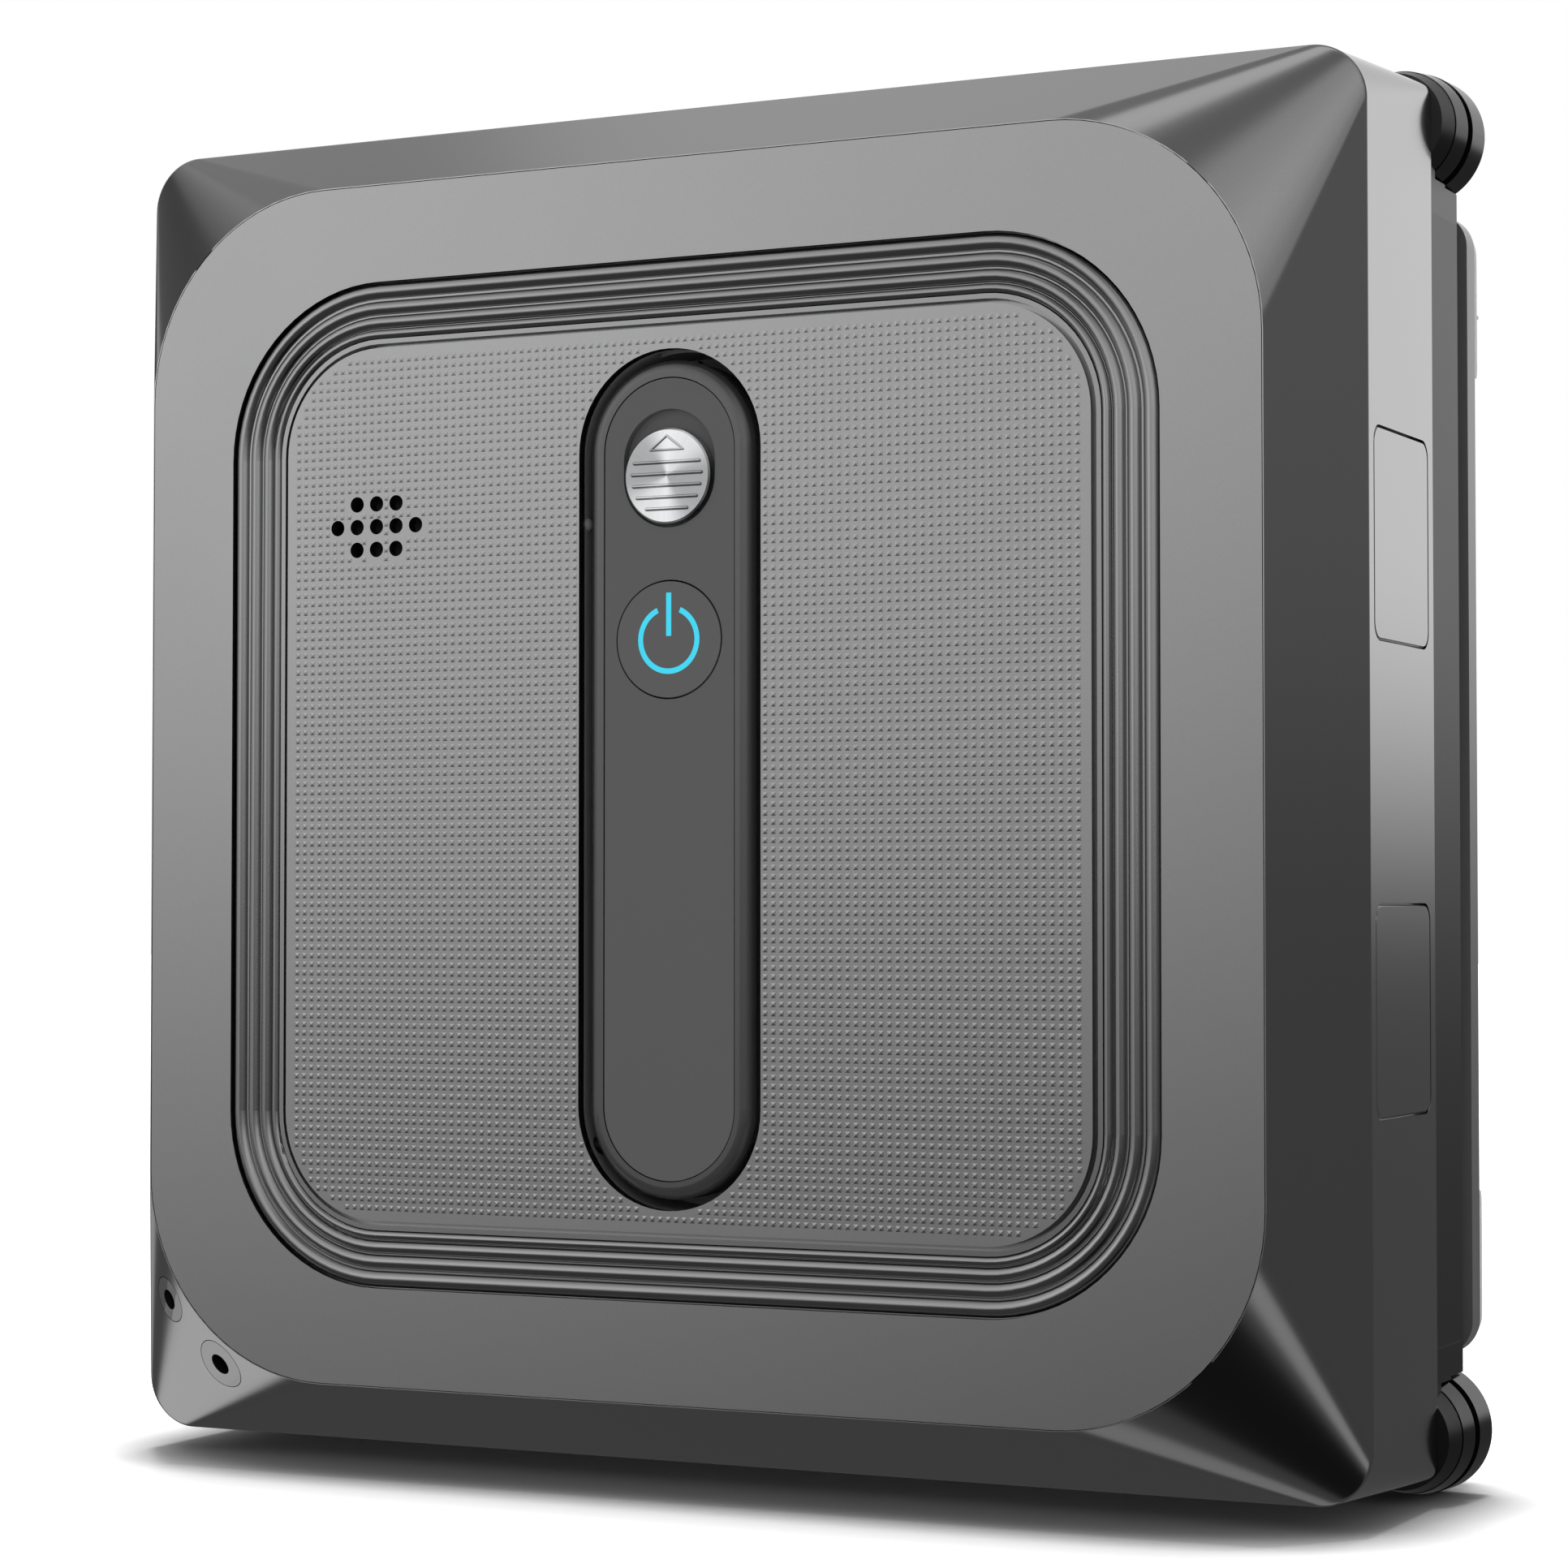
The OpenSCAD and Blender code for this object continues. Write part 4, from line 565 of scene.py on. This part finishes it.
def skinRings(bm, rings):
    # walls between rings of points, where a ring of one point is a pole
    sides = max(len(ring) for ring in rings)
    for low, high in zip(rings, rings[1:]):
        for i in range(sides):
            j = (i + 1) % sides
            corners = [low[i % len(low)], low[j % len(low)], high[j % len(high)], high[i % len(high)]]
            bm.faces.new(list(dict.fromkeys(corners)))
    for ring in (rings[0], rings[-1]):
        if len(ring) > 1:
            bm.faces.new(ring)


def addBlock(bm, first, last):
    # a block between two opposite corners
    size = Matrix.Diagonal((*(last - first), 1.0))
    bmesh.ops.create_cube(bm, size=1.0, matrix=Matrix.Translation((first + last) / 2) @ size)


def finishMesh(bm, name, smoothAngle=35.0):
    # closes the mesh, turns its faces outwards and shades it smooth except over sharp edges
    bmesh.ops.remove_doubles(bm, verts=bm.verts, dist=0.000001)
    bmesh.ops.recalc_face_normals(bm, faces=bm.faces)
    for edge in bm.edges:
        edge.smooth = len(edge.link_faces) == 2 and edge.calc_face_angle(0.0) < math.radians(smoothAngle)
    for face in bm.faces:
        face.smooth = True
    mesh = bpy.data.meshes.new(name)
    bm.to_mesh(mesh)
    bm.free()
    return mesh


# power sign on the button: a broken ring and a bar, in millimetres
powerSign = {
    "middleZ": 24.0, "ringReach": 5.5, "stroke": 0.95, "gapHalfAngle": 23.0, "barFrom": 0.6, "barTo": 8.1,
    "barWidth": 0.98, "front": -0.02, "back": 0.05, "steps": 96}


def makePowerSign(p):
    bm = bmesh.new()
    start, turn = 90 + p["gapHalfAngle"], 360 - 2 * p["gapHalfAngle"]
    outer = arcPoints(0, 0, p["ringReach"] + p["stroke"] / 2, start, turn, p["steps"])
    inner = arcPoints(0, 0, p["ringReach"] - p["stroke"] / 2, start, turn, p["steps"])
    half = p["barWidth"] / 2
    bar = [(-half, p["barFrom"]), (half, p["barFrom"]), (half, p["barTo"]), (-half, p["barTo"])]
    for outline in (outer + inner[::-1], bar):
        skinRings(bm, [[bm.verts.new(at(x, depth, p["middleZ"] + z)) for x, z in outline]
                       for depth in (p["front"], p["back"])])
    newPiece("powerSign", finishMesh(bm, "powerSign", 0.0), "power_button", "sign")


makePowerSign(powerSign)
print("power sign made")

# thumb slider: a brushed disc with five ridges and a raised triangle, in millimetres from the disc's middle
thumbSlider = {
    "reach": 8.3, "back": 1.3, "chamfer": 0.3, "steps": 96, "stemX": 2.0, "stemZ": 4.0, "stemBack": 3.2,
    "overlap": 0.2, "ridgeUp": (2.36, 0.34, -1.68, -3.70, -5.70),
    "ridgeLength": (13.3, 14.1, 13.6, 12.2, 8.5), "ridgeReach": 0.33, "triangleBase": 4.5,
    "triangleTop": 6.95, "triangleHalf": 3.15, "triangleReach": 0.22, "ridgeSides": 12, "ridgeRounds": 4}


def addLathe(bm, centre, profile, steps):
    # a closed round form about the depth axis: the profile's points are reach and depth, from axis to axis
    rings = []
    for reach, depth in profile:
        spots = arcPoints(0, 0, reach, 0, 360, steps)[:-1] if reach else [(0, 0)]
        rings.append([bm.verts.new(centre + Vector((x, depth, z)) / 1000) for x, z in spots])
    skinRings(bm, rings)


def addCapsule(bm, start, end, reach, sides, rounds):
    # a round-ended bar from start to end
    along = (end - start).normalized()
    side = along.cross(Vector((0, 1, 0))).normalized()
    up = along.cross(side)
    rings = [[bm.verts.new(start - along * reach)]]
    for centre, lifts in ((start, range(1 - rounds, 1)), (end, range(rounds))):
        for lift in lifts:
            angle = math.pi / 2 * lift / rounds
            spots = arcPoints(0, 0, reach * math.cos(angle), 0, 360, sides)[:-1]
            middle = centre + along * reach * math.sin(angle)
            rings.append([bm.verts.new(middle + side * x + up * z) for x, z in spots])
    rings.append([bm.verts.new(end + along * reach)])
    skinRings(bm, rings)


def makeThumbSlider(p, disc):
    bm = bmesh.new()
    front, middleZ, reach = disc["front"], disc["middleZ"], p["reach"]
    addLathe(bm, at(0, 0, middleZ), [(0, front), (reach / 2, front), (reach - p["chamfer"], front),
                                     (reach, front + p["chamfer"]), (reach, p["back"]), (0, p["back"])],
             p["steps"])
    addBlock(bm, at(-p["stemX"], p["back"] - p["overlap"], middleZ - p["stemZ"]),
             at(p["stemX"], p["stemBack"], middleZ + p["stemZ"]))
    bars = []
    for up, length in zip(p["ridgeUp"], p["ridgeLength"]):
        half = length / 2 - p["ridgeReach"]
        bars.append(((-half, up), (half, up), p["ridgeReach"]))
    tips = [(x, p["triangleBase"]) for x in (-p["triangleHalf"], p["triangleHalf"])] + [(0, p["triangleTop"])]
    for i in range(3):
        bars.append((tips[i], tips[(i + 1) % 3], p["triangleReach"]))
    for first, last, reach in bars:
        start, end = [at(x, front, middleZ + z) for x, z in (first, last)]
        addCapsule(bm, start, end, reach / 1000, p["ridgeSides"], p["ridgeRounds"])
    piece = newPiece("thumbSlider", finishMesh(bm, "thumbSlider"), "latch", "slider")
    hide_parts("latch_slider")


makeThumbSlider(thumbSlider, sliderDisc)
print("thumb slider made")

# snap-in side covers, in millimetres: plates with chamfered edges, so that a dark joint shows round them
sideCovers = {
    "middleY": 35.4, "depth": 30.4, "height": 35.4, "middleZ": 39.4, "face": slopeForm["bandHalf"],
    "thick": 1.2, "radius": 3.0, "joint": 0.1, "chamfer": 0.3, "clip": 10.0, "clipBack": 117.5,
    "overlap": 0.1, "steps": 10, "smooth": 20.0}


def roundedRing(width, height, radius, steps):
    # the points of a rounded rectangle, anticlockwise from its right side
    points = []
    for sx, sz, start in ((1, 1, 0), (-1, 1, 90), (-1, -1, 180), (1, -1, 270)):
        points += arcPoints(sx * (width / 2 - radius), sz * (height / 2 - radius), radius, start, 90, steps)
    return points


def makeSideCover(p, end, cover, side, up):
    bm = bmesh.new()
    width = p["depth"] - 2 * p["joint"]
    height = p["height"] - 2 * p["joint"]
    middleY, middleZ = p["middleY"], up * p["middleZ"]
    back = p["face"] - p["thick"]
    rings = []
    for x, inset in ((back, 0.0), (p["face"] - p["chamfer"], 0.0), (p["face"], p["chamfer"])):
        outline = roundedRing(width - 2 * inset, height - 2 * inset, p["radius"] - inset, p["steps"])
        rings.append([bm.verts.new(at(side * x, middleY + y, middleZ + z)) for y, z in outline])
    skinRings(bm, rings)
    half = p["clip"] / 2
    addBlock(bm, at(side * p["clipBack"], middleY - half, middleZ - half),
             at(side * (back + p["overlap"]), middleY + half, middleZ + half))
    name = "sideCover" + end
    piece = newPiece(name, finishMesh(bm, name, p["smooth"]), "body", "shell")
    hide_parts(cover)


for corner in fourCorners:
    makeSideCover(sideCovers, **corner)
print("side covers made")

# rear corners of the casing, in millimetres: their radius falls from the slope to the rear edge
casingCorner = {
    "half": slopeForm["bandHalf"], "wide": slopeForm["bandRadius"], "tight": 2.6, "from": 17.6, "to": 53.4,
    "slices": 10, "steps": 12, "smooth": 30.0}


def makeCasingCorner(p, name, side, up):
    bm = bmesh.new()
    core = p["half"] - p["wide"]
    rings = []
    for i in range(p["slices"] + 1):
        share = i / p["slices"]
        radius = p["wide"] + (p["tight"] - p["wide"]) * share
        depth = p["from"] + (p["to"] - p["from"]) * share
        middle = p["half"] - radius
        outline = [(core, core), (p["half"], core)]
        outline += arcPoints(middle, middle, radius, 0, 90, p["steps"]) + [(core, p["half"])]
        rings.append([bm.verts.new(at(side * x, depth, up * z)) for x, z in outline])
    skinRings(bm, rings)
    newPiece(name, finishMesh(bm, name, p["smooth"]), "body", "corner")


for corner in fourCorners:
    makeCasingCorner(casingCorner, "casingCorner" + corner["end"], corner["side"], corner["up"])
print("casing corners made")

# microfibre pad on the back plate, in millimetres; its tufts lean by angles in radians, are at most so many
# to a square metre, and stand only on faces that point back by at least the share "facing"
microfibrePad = {
    "voxel": 1.1, "rounding": 5, "roundShare": 0.5, "fadeDepth": 2.0, "ripple": 0.12, "rippleSize": 9.0,
    "tuftPitch": 2.6, "tuftReach": 0.85, "tuftTip": 0.3, "tuftHeight": 0.75, "tuftSides": 7,
    "tuftDensity": 400000.0, "leanFrom": (-1.92, -0.35, -3.1), "leanTo": (-1.22, 0.35, 3.1),
    "growFrom": 0.75, "growTo": 1.1, "facing": 0.93, "pileDepth": 0.45, "seed": 7, "seamHalf": 1.3,
    "seamDepth": 0.3}

# seams along the pad's blocks, in millimetres: rows of stitches on both sides or at all four corners
padSeams = {"stitchStep": 3.2, "stitchLength": 2.2, "stitchReach": 0.3, "depth": 85.95,
            "segments": 10, "rings": 8,
            "rows": [((-94.6, s * 74.4), (94.6, s * 74.4)) for s in (-1, 1)]
            + [((s * 94.6, -74.4), (s * 94.6, 74.4)) for s in (-1, 1)]
            + [((-98.0, s * 116.2), (98.0, s * 116.2)) for s in (-1, 1)]
            + [((s * 109.4, -72.0), (s * 109.4, 72.0)) for s in (-1, 1)]
            + [((s * 116.2, t * 76.0), (s * 116.2, t * 98.4)) for s in (-1, 1) for t in (-1, 1)]}


def seamReach(x, z, rows):
    # how far a point lies from the nearest seam
    reaches = []
    for (x1, z1), (x2, z2) in rows:
        nearX = min(max(x, min(x1, x2)), max(x1, x2))
        nearZ = min(max(z, min(z1, z2)), max(z1, z2))
        reaches.append(math.hypot(x - nearX, z - nearZ))
    return min(reaches)


def padBase(p):
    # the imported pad's own form, its loose triangles merged, rounded by a fine remesh and smoothing
    bm = bmesh.new()
    bm.from_mesh(nodes["cleaning_pad"].data)
    bmesh.ops.remove_doubles(bm, verts=bm.verts, dist=0.00001)
    low = min(v.co.y for v in bm.verts)
    high = max(v.co.y for v in bm.verts)
    back = high - p["pileDepth"] / 1000
    for v in bm.verts:
        if v.co.y > (low + high) / 2:
            v.co.y = back
    mesh = bpy.data.meshes.new("padSource")
    bm.to_mesh(mesh)
    bm.free()
    holder = addObject("padSource", mesh)
    remesh = holder.modifiers.new("voxels", "REMESH")
    remesh.mode = "VOXEL"
    remesh.voxel_size = p["voxel"] / 1000
    smooth = holder.modifiers.new("soften", "SMOOTH")
    smooth.factor = p["roundShare"]
    smooth.iterations = p["rounding"]
    return plainMesh(holder, "padRounded"), back


def pressPad(p, mesh, back):
    # soft waves over the wiping side, pressed in along the seams, none where the pad lies on the plate
    seam = mesh.attributes.new("seam", "FLOAT", "POINT")
    fade = p["fadeDepth"] / 1000
    for v in mesh.vertices:
        x, y, z = v.co
        share = min(1.0, max(0.0, (y - (back - fade)) / fade))
        wave = math.sin(x * 2000 * math.pi / p["rippleSize"]) * math.sin(z * 2000 * math.pi / p["rippleSize"])
        reach = seamReach(x * 1000, z * 1000 - frontView["floorZ"], padSeams["rows"])
        press = max(0.0, 1 - reach / (2 * p["seamHalf"]))
        seam.data[v.index].value = 1.0 if reach < p["seamHalf"] else 0.0
        v.co.y -= share * ((1 + wave) * p["ripple"] / 2000 + press * p["seamDepth"] / 1000)
    for polygon in mesh.polygons:
        polygon.use_smooth = True


def tuftTree(p):
    # short leaning tufts, spread over the pad's wiping side but for its seams
    tree, given = newTree("padTufts", {
        "Pad": "Geometry", "Pitch": "Float", "Tuft reach": "Float", "Tip reach": "Float",
        "Tuft height": "Float", "Seed": "Int", "Finish": "Material"})
    facing = addNode(tree, "SeparateXYZ", {"Vector": addNode(tree, "GeometryNodeInputNormal")})
    facesOut = addNode(tree, "FunctionNodeCompare", {0: facing.outputs["Y"], 1: p["facing"]}, "GREATER_THAN")
    seam = addNode(tree, "GeometryNodeInputNamedAttribute", {"Name": "seam"}, data_type="FLOAT")
    offSeam = addNode(tree, "FunctionNodeCompare", {0: seam, 1: 0.5}, "LESS_THAN")
    wiping = addNode(tree, "FunctionNodeBooleanMath", {0: facesOut, 1: offSeam}, "AND")
    points = addNode(tree, "GeometryNodeDistributePointsOnFaces", {
        "Mesh": given["Pad"], "Selection": wiping, "Distance Min": given["Pitch"],
        "Density Max": p["tuftDensity"], "Seed": given["Seed"]}, distribute_method="POISSON")
    tuft = addNode(tree, "GeometryNodeMeshCone", {
        "Vertices": p["tuftSides"], "Side Segments": 2, "Fill Segments": 1,
        "Radius Top": given["Tip reach"], "Radius Bottom": given["Tuft reach"],
        "Depth": given["Tuft height"]}, fill_type="NGON")
    lean = addNode(tree, "FunctionNodeRandomValue", {
        0: p["leanFrom"], 1: p["leanTo"], "Seed": given["Seed"]}, data_type="FLOAT_VECTOR")
    grow = addNode(tree, "FunctionNodeRandomValue", {
        2: p["growFrom"], 3: p["growTo"], "Seed": given["Seed"]}, data_type="FLOAT")
    placed = addNode(tree, "GeometryNodeInstanceOnPoints", {
        "Points": points, "Instance": tuft, "Rotation": lean, "Scale": grow})
    joined = addNode(tree, "GeometryNodeJoinGeometry", {"Geometry": given["Pad"]})
    tree.links.new(placed.outputs["Instances"], joined.inputs["Geometry"])
    return closeTree(tree, joined, given["Finish"])


def makePad(p):
    rounded, back = padBase(p)
    pressPad(p, rounded, back)
    finished = bakeTree("microfibrePad", tuftTree(p), {
        "Pitch": p["tuftPitch"] / 1000, "Tuft reach": p["tuftReach"] / 1000, "Tip reach": p["tuftTip"] / 1000,
        "Tuft height": p["tuftHeight"] / 1000, "Seed": p["seed"], "Finish": finishes["pad"]}, rounded)
    limit = max(corner[1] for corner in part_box("cleaning_pad"))
    for v in finished.vertices:
        v.co.y = min(v.co.y, limit)
    piece = newPiece("microfibrePad", finished, "body", "pad")
    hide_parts("cleaning_pad")
    print("pad triangles:", sum(len(f.vertices) - 2 for f in finished.polygons))


makePad(microfibrePad)
print("microfibre pad made")


def stitchTree(p):
    # round-ended stitches along each row, turned to lie with it
    tree, given = newTree("padStitches", {"Stitch size": "Vector", "Finish": "Material"})
    ball = addNode(tree, "GeometryNodeMeshUVSphere", {
        "Segments": p["segments"], "Rings": p["rings"], "Radius": 0.5})
    joined = tree.nodes.new("GeometryNodeJoinGeometry")
    for (x1, z1), (x2, z2) in p["rows"]:
        count = max(2, int(math.hypot(x2 - x1, z2 - z1) / p["stitchStep"]) + 1)
        first, last = at(x1, p["depth"], z1), at(x2, p["depth"], z2)
        row = addNode(tree, "GeometryNodeMeshLine", {
            "Count": count, "Start Location": first, "Offset": (last - first) / (count - 1)})
        turn = 0.0 if abs(x2 - x1) > abs(z2 - z1) else math.pi / 2
        laid = addNode(tree, "GeometryNodeInstanceOnPoints", {
            "Points": row, "Instance": ball, "Rotation": (0.0, turn, 0.0), "Scale": given["Stitch size"]})
        tree.links.new(laid.outputs["Instances"], joined.inputs["Geometry"])
    return closeTree(tree, joined, given["Finish"])


def makeStitches(p):
    across = 2 * p["stitchReach"] / 1000
    size = (p["stitchLength"] / 1000, across, across)
    mesh = bakeTree("padStitches", stitchTree(p), {"Stitch size": size, "Finish": finishes["thread"]})
    for polygon in mesh.polygons:
        polygon.use_smooth = True
    newPiece("padStitches", mesh, "body", "thread")
    print("stitch triangles:", sum(len(f.vertices) - 2 for f in mesh.polygons))


makeStitches(padSeams)

# the floor in metres, its shade under the robot, the studio's even light and the key light
stageLook = {
    "floorSize": 12.0, "floorColour": "#EDEDED", "floorSeen": 1.7, "contactReach": 0.02,
    "contactDark": 0.25, "contactFrom": 0.45, "contactSamples": 12, "ambient": 0.5, "skyLow": 0.1,
    "skyDarkest": 0.0125, "sunStrength": 1.5, "sunAngle": 14.0, "sunWay": (0.03, -0.08, -1.0)}

# how the mirrored sky changes along an axis: from where, to where, and its brightness at both.
# It rises at the horizon, falls again towards the top, and is darker far to the right and to the left.
skyFades = [("Z", -0.035, 0.085, 0.0, 1.1),
            ("Z", 0.2, 0.8, 1.0, 0.3),
            ("X", 0.5, 0.95, 1.0, 0.17),
            ("X", -0.86, -0.68, 0.12, 1.0)]

# soft boxes, and black flags with a negative glow, that only reflections see: way, tightness and glow of each
softBoxes = [((-0.36, 0.52, 0.775), 0.985, 0.3),
             ((-0.26, -0.93, 0.26), 0.95, -0.4),
             ((-0.04, -0.14, 0.985), 0.98, 0.6),
             ((0.20, -0.44, 0.88), 0.985, -0.1),
             ((0.89, -0.28, 0.37), 0.97, 0.25),
             ((0.54, -0.52, 0.66), 0.93, 0.22),
             ((0.73, -0.50, -0.47), 0.993, 0.45),
             ((0.35, -0.54, -0.76), 0.95, -0.2),
             ((-0.11, -0.07, -0.99), 0.975, 0.28),
             ((-0.84, 0.03, -0.55), 0.955, 0.75),
             ((-0.80, 0.09, 0.60), 0.993, 0.16),
             ((-0.73, 0.67, 0.15), 0.985, -0.9),
             ((-0.86, 0.50, 0.02), 0.97, 0.35),
             ((-0.97, -0.20, 0.05), 0.93, 0.3),
             ((-0.60, -0.72, 0.45), 0.75, 0.4)]


def makeFloor(s):
    # pale floor that darkens where the robot stands close over it; mirrors in the scene don't see it
    half = s["floorSize"] / 2
    mesh = bpy.data.meshes.new("floor")
    corners = [(-half, -half, 0), (half, -half, 0), (half, half, 0), (-half, half, 0)]
    mesh.from_pydata(corners, [], [(0, 1, 2, 3)])
    addObject("floor", mesh)
    mat = bpy.data.materials.new("studioFloor")
    mat.use_nodes = True
    tree = mat.node_tree
    tree.nodes.clear()
    path = addNode(tree, "LightPath").outputs
    matte = addNode(tree, "BsdfDiffuse", {"Color": linear(s["floorColour"])})
    contact = addNode(tree, "AmbientOcclusion", {"Distance": s["contactReach"]}, samples=s["contactSamples"])
    near = addNode(tree, "MapRange", {
        "Value": contact.outputs["AO"], "From Min": s["contactFrom"], "From Max": 1.0,
        "To Min": s["contactDark"] * s["floorSeen"], "To Max": s["floorSeen"]})
    pale = addNode(tree, "BsdfDiffuse", {"Color": near})
    seen = addNode(tree, "MixShader", {0: path["Is Camera Ray"], 1: matte, 2: pale})
    clear = addNode(tree, "BsdfTransparent")
    mirrored = addNode(tree, "MixShader", {0: path["Is Glossy Ray"], 1: seen, 2: clear})
    addNode(tree, "OutputMaterial", {"Surface": mirrored})
    mesh.materials.append(mat)


def makeWorld(s):
    # white for the camera, even light for matte surfaces, and the sky with its soft boxes for mirrors
    world = bpy.data.worlds.new("studio")
    scene.world = world
    world.use_nodes = True
    tree = world.node_tree
    tree.nodes.clear()
    path = addNode(tree, "LightPath").outputs
    view = addNode(tree, "TexCoord").outputs["Generated"]
    way = addNode(tree, "SeparateXYZ", {"Vector": view}).outputs
    glow = 1.0
    for axis, start, end, low, high in skyFades:
        share = addNode(tree, "MapRange", {
            "Value": way[axis], "From Min": start, "From Max": end, "To Min": low, "To Max": high},
            interpolation_type="SMOOTHSTEP")
        glow = addNode(tree, "Math", {0: glow, 1: share}, "MULTIPLY")
    glow = addNode(tree, "Math", {0: glow, 1: s["skyLow"]}, "MAXIMUM")
    for boxWay, tight, boxGlow in softBoxes:
        aim = addNode(tree, "VectorMath", {0: view, 1: Vector(boxWay).normalized()}, "DOT_PRODUCT")
        panel = addNode(tree, "MapRange", {
            "Value": aim, "From Min": tight, "From Max": (1 + tight) / 2, "To Min": 0.0, "To Max": boxGlow},
            interpolation_type="SMOOTHSTEP")
        glow = addNode(tree, "Math", {0: glow, 1: panel}, "ADD")
    glow = addNode(tree, "Math", {0: glow, 1: s["skyDarkest"]}, "MAXIMUM")
    white = (1.0, 1.0, 1.0, 1.0)
    ambient = addNode(tree, "Background", {"Color": white, "Strength": s["ambient"]})
    mirrored = addNode(tree, "Background", {"Color": white, "Strength": glow})
    seen = addNode(tree, "Background", {"Color": white, "Strength": 1.0})
    gloss = addNode(tree, "Math", {0: path["Is Glossy Ray"], 1: path["Is Transmission Ray"]}, "MAXIMUM")
    lit = addNode(tree, "MixShader", {0: gloss, 1: ambient, 2: mirrored})
    last = addNode(tree, "MixShader", {0: path["Is Camera Ray"], 1: lit, 2: seen})
    addNode(tree, "OutputWorld", {"Surface": last})


def makeSun(s):
    data = bpy.data.lights.new("softKey", "SUN")
    data.energy = s["sunStrength"]
    data.angle = math.radians(s["sunAngle"])
    lamp = addObject("softKey", data)
    lamp.visible_glossy = False
    lamp.rotation_euler = Vector(s["sunWay"]).to_track_quat("-Z", "Y").to_euler()


makeFloor(stageLook)
makeWorld(stageLook)
makeSun(stageLook)

# the camera that the photograph's perspective gave: metres, degrees, and its lens and sensor in millimetres
cameraFit = {
    "place": (0.311394, -0.631230, 0.102442), "yaw": 26.168, "pitch": 1.804, "lens": 88.608, "sensor": 36.0,
    "near": 0.01, "far": 50.0}


def makeCamera(c):
    data = bpy.data.cameras.new("camera")
    data.lens = c["lens"]
    data.sensor_width = c["sensor"]
    data.clip_start = c["near"]
    data.clip_end = c["far"]
    camera = addObject("camera", data)
    camera.location = c["place"]
    camera.rotation_euler = (math.radians(90 + c["pitch"]), 0.0, math.radians(c["yaw"]))
    scene.camera = camera


makeCamera(cameraFit)
scene.view_settings.view_transform = "Standard"
print("stage and camera made")
